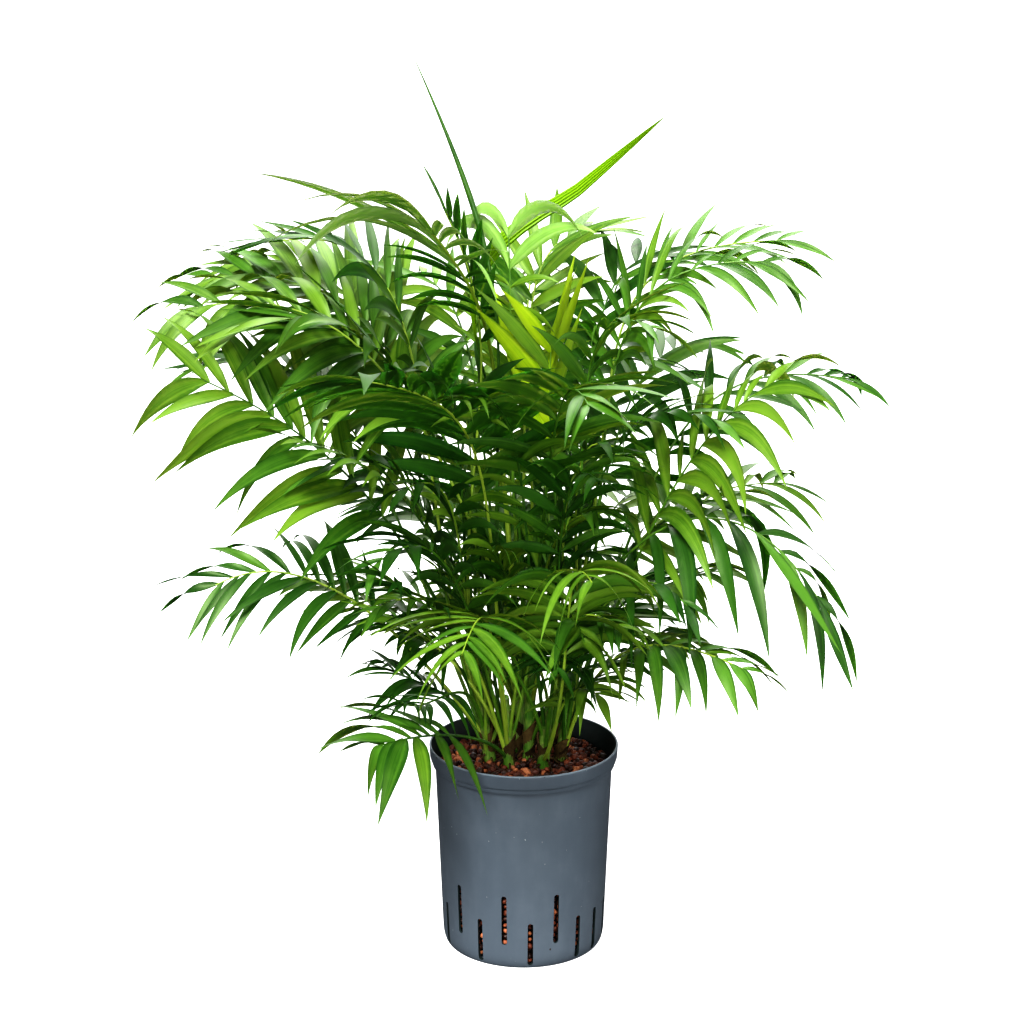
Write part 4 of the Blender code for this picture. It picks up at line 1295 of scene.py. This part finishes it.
def add_leaflets(name, rib, tone, heaps, room, chance):
    """All the leaflets of a frond that find room."""
    spacing = FINE_PAIR_SPACING * factor_for(name, LEAF_SPACINGS)
    places = rib.pair_places(spacing, FEWEST_FINE_PAIRS, MOST_FINE_PAIRS)
    breadth = LEAF_WIDTH_SHARE * factor_for(name, BLADE_WIDTHS)
    row = rib.row._replace(**FINE_CHANGES.get(name, {}))
    short_side, shorter = SHORT_SIDES.get(name, (0, 1.0))
    inner_part_end, inner_part_tone, inner_part_length = FROND_INNER_PARTS.get(name, (0.0, tone, 1.0))
    last = len(places) - 1
    for number, sign in itertools.product(range(len(places)), (1, -1)):
        share, end = number / max(1, last), END_PAIR_WIDTH if number == last else 1.0
        whims = {**dealt(chance, WHIMS), "lift": LIFTS.get(name, LIFT)}
        distance = places[number] + (chance.uniform(-STAGGER, STAGGER) if number else 0.0)
        own_tone = NEXT_TONES[tone] if chance.random() < NEXT_TONE_CHANCE else tone
        shade, fold = chance.random(), chance.uniform(*FOLDS)
        dry_tip = chance.random() < DRY_TIP_CHANCE
        if sign == short_side:
            whims["length"] *= shorter
        # leaflets nearer the rib's foot take the frond's other tone and length
        if share < inner_part_end:
            own_tone = inner_part_tone
            whims["length"] *= inner_part_length
        for tries in LEAF_TRIES:
            line, across, overs, length = leaf_line(rib, row, distance, share, sign, tries, whims)
            widths = leaf_widths(length * breadth * end * whims["width"])
            ribbon = leaf_ribbon(line, across, widths)
            if room.is_clear(*ribbon, rib):
                room.add(*ribbon)
                points, faces, slots, blades = leaf_shape(line, across, overs, widths, fold, dry_tip)
                heaps[own_tone].add(points, faces, shade, slots, blades)
                break


def add_young_blade(heap, rib):
    """The leaf that has not opened yet: one blade of narrow pleats that runs on from its rib."""
    ahead, left, over = rib.frame(rib.length)
    turn, rise = math.radians(YOUNG_BLADE_TURN), math.radians(YOUNG_BLADE_RISE)
    onward = math.cos(rise) * ahead + math.sin(rise) * over
    left, over = turned(left, over, math.cos(turn), math.sin(turn))
    start = rib.length * YOUNG_BLADE_START
    run = rib.length - start + rib.row.leaf * YOUNG_BLADE_REACH
    points, blades = [], []
    for share in np.linspace(0, 1, YOUNG_BLADE_STATIONS):
        distance = start + share * run
        middle = rib.place(distance) + max(0.0, distance - rib.length) * onward
        swell = math.sin(math.pi * share**YOUNG_OUTLINE) ** YOUNG_OUTLINE
        width = YOUNG_BLADE_WIDTH * max(YOUNG_BLADE_LEAST, swell)
        depth = PLEAT_DEPTH * min(1.0, PLEAT_FADE * width / YOUNG_BLADE_WIDTH)
        for layer, fold in itertools.product((0.5, -0.5), range(YOUNG_FOLDS + 1)):
            side = fold / YOUNG_FOLDS - 0.5
            rise = depth * (fold % 2) + width * 0.5 * (1 - 4 * side * side) * YOUNG_CROWN
            points.append(middle + side * width * left + (rise + layer * LEAF_THICKNESS) * over)
            blades.append((fold / YOUNG_FOLDS, share))
    columns = YOUNG_FOLDS + 1
    faces = sheet_faces((YOUNG_BLADE_STATIONS, 2 * columns), (columns, 1), columns)
    heap.add(points, faces, YOUNG_BLADE_SHADE, None, blades)


# The plant


def back_fronds():
    """The fronds of the side that faces away, each a little off its tier's sizes."""
    chance = random.Random(BACK_SEED)
    for height, reach, bearings in BACK_TIERS:
        for bearing in bearings:
            yield frond(
                bearing + chance.uniform(-BACK_TURN, BACK_TURN),
                reach * chance.uniform(*BACK_REACHES),
                height + chance.uniform(-BACK_RISE, BACK_RISE),
                **dealt(chance, BACK_SPANS),
            )


def inner_fronds():
    """Small fronds inside the clump, at even turns, the later ones of a tier higher."""
    chance = random.Random(SEED)
    for tier, (count, reaches, (low, high)) in enumerate(INNER_TIERS, start=1):
        for number in range(count):
            yield f"inner_{tier}_{number + 1}", frond(
                INNER_TURN * number % 360 - 180,
                chance.uniform(*reaches),
                low + (high - low) * number / count,
                **dealt(chance, INNER_SPANS),
            )


def frond_rows():
    rows = [*SEEN_FRONDS, *back_fronds()]
    named = dict(zip(frond_names(*range(1, len(rows) + 1)), rows))
    return {**named, "spear_leaf": SPEAR, "young_leaf": YOUNG_LEAF}


def place_ribs(rows, load, room, **fewer_tries):
    """The ribs that find room, the steepest before the others, as the solids have them."""
    order = sorted(rows, key=lambda name: rows[name].reach)
    placed = {name: place_rib(rows[name], load, room, **fewer_tries) for name in order}
    return {name: rib for name, rib in placed.items() if rib}


def tone_of(name, chance):
    for tone, names in FROND_TONES.items():
        if name in names:
            return tone
    return "mid" if name in SEEN_NAMES else chance.choice(DEALT_TONES)


def add_foliage():
    room = Room()
    for name in ("pot", "granulate", *CANE_NODES):
        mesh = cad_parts[name].data
        corners = [tuple(vert.co) for vert in mesh.vertices]
        room.add(corners, [tuple(face.vertices) for face in mesh.polygons])
    rows, inner = frond_rows(), dict(inner_fronds())
    load = dict.fromkeys(CANES, 0)
    ribs = place_ribs(rows, load, room)
    ribs.update(place_ribs(inner, load, room, shifts=SHIFTS[:1], bows=BOWS[:3]))
    chance = random.Random(SEED)
    stalks, sheaths = Heap(), Heap()
    for name, rib in ribs.items():
        shade = SPEAR_SHADE if name == "spear_leaf" else chance.random()
        add_fine_rib(stalks, rib, 1.0 if name in STOUT_STALKS else shade, STOUT_STALKS.get(name, 1.0))
        way = rib.path[0] - cane_axis(rib.cane, rib.cane_height)
        add_sheath(sheaths, rib.cane, rib.cane_height, math.atan2(way[1], way[0]), chance)
    stalks.piece("ribs", RIB_EDGES, rib_green(), "leaf_green", *rows)
    sheaths.piece("sheaths", LEAF_EDGES, sheath_green(), "cane_green")
    add_blades(rows, inner, ribs, room, chance)


def add_blades(rows, inner, ribs, room, chance):
    """The leaflets of every rib, those of one tone joined in one piece."""
    heaps = {tone: Heap() for tone in TONES}
    members = {tone: [] for tone in TONES}
    for name in sorted((*rows, *inner), key=lambda name: name not in FIRST_SERVED):
        if name == "spear_leaf" or name not in ribs:
            continue
        tone = tone_of(name, chance)
        if name in rows:
            members[tone].append(name)
        if name == "young_leaf":
            add_young_blade(heaps[tone], ribs[name])
        else:
            add_leaflets(name, ribs[name], tone, heaps, room, random.Random(f"{name} {SEED}"))
    finishes = leaf_finishes()
    for tone, heap in heaps.items():
        slot = "young_leaf_green" if tone == "young" else "leaf_green"
        heap.piece(f"leaflets_{tone}", LEAF_EDGES, finishes[tone], slot, *members[tone])


# Floor, lights and camera


def add_floor():
    floor = new_shape("plane", size=FLOOR_SIZE)
    floor.name = "floor"
    with editing("EDGE"):
        up = {"value": (0.0, 0.0, BACKDROP_HEIGHT)}
        bpy.ops.mesh.extrude_edges_move(TRANSFORM_OT_translate=up)
    finish = Finish(
        "pale_floor", roughness=0.9, specular_ior_level=0.1,
        emission_color=(1.0, 1.0, 1.0), emission_strength=FLOOR_GLOW,
    )
    low, high = ((factor * FLOOR_PALENESS,) * 3 for factor in FLOOR_MOTTLE)
    finish.drive("Base Color", finish.ramp(finish.noise(3.0), (0.3, low), (0.7, high)))
    floor.data.materials.append(finish.material)
    floor.visible_diffuse = False
    floor.visible_glossy = False
    floor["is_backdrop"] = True


def aim(place, target):
    """Turn that points a lamp from its place at a target."""
    away = np.subtract(place, target)
    return (math.atan2(math.hypot(away[0], away[1]), away[2]), 0.0, math.atan2(away[0], -away[1]))


def add_lights():
    for name, place, width, power in LIGHTS:
        lamp = bpy.data.lights.new(name, "AREA")
        lamp.size, lamp.energy = width, power
        put(name, lamp, place, aim(place, LIGHT_AIM))
    sun = bpy.data.lights.new("main", "SUN")
    sun.energy, sun.angle = SUN_STRENGTH, math.radians(SUN_SPREAD)
    put("main", sun, turn=aim(SUN_PLACE, (0.0, 0.0, 0.0)))
    world = bpy.data.worlds.new("studio")
    world.use_nodes = True
    sky = world.node_tree.nodes["Background"]
    sky.inputs["Color"].default_value = (1.0, 1.0, 1.0, 1.0)
    sky.inputs["Strength"].default_value = SKY_BRIGHTNESS
    bpy.context.scene.world = world


def add_camera():
    lens = bpy.data.cameras.new("camera")
    lens.lens, lens.sensor_width = LENS, SENSOR
    turn = (math.radians(90.0 - CAMERA_DIP), 0.0, 0.0)
    bpy.context.scene.camera = put("camera", lens, CAMERA_PLACE, turn)


def write_size():
    """Sets the boxes of the solids and of the visual model side by side, and keeps neither."""
    boxes = {"cad": CAD_BOX, "visual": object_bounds()}
    {name: [list(corner) for corner in box] for name, box in boxes.items()}


bpy.context.scene.view_settings.view_transform = "Standard"
bpy.context.scene.view_settings.look = "High Contrast"
add_camera()
add_lights()
add_floor()
add_pot()
add_pebbles()
add_canes()
add_dry_parts()
add_foliage()
write_size()
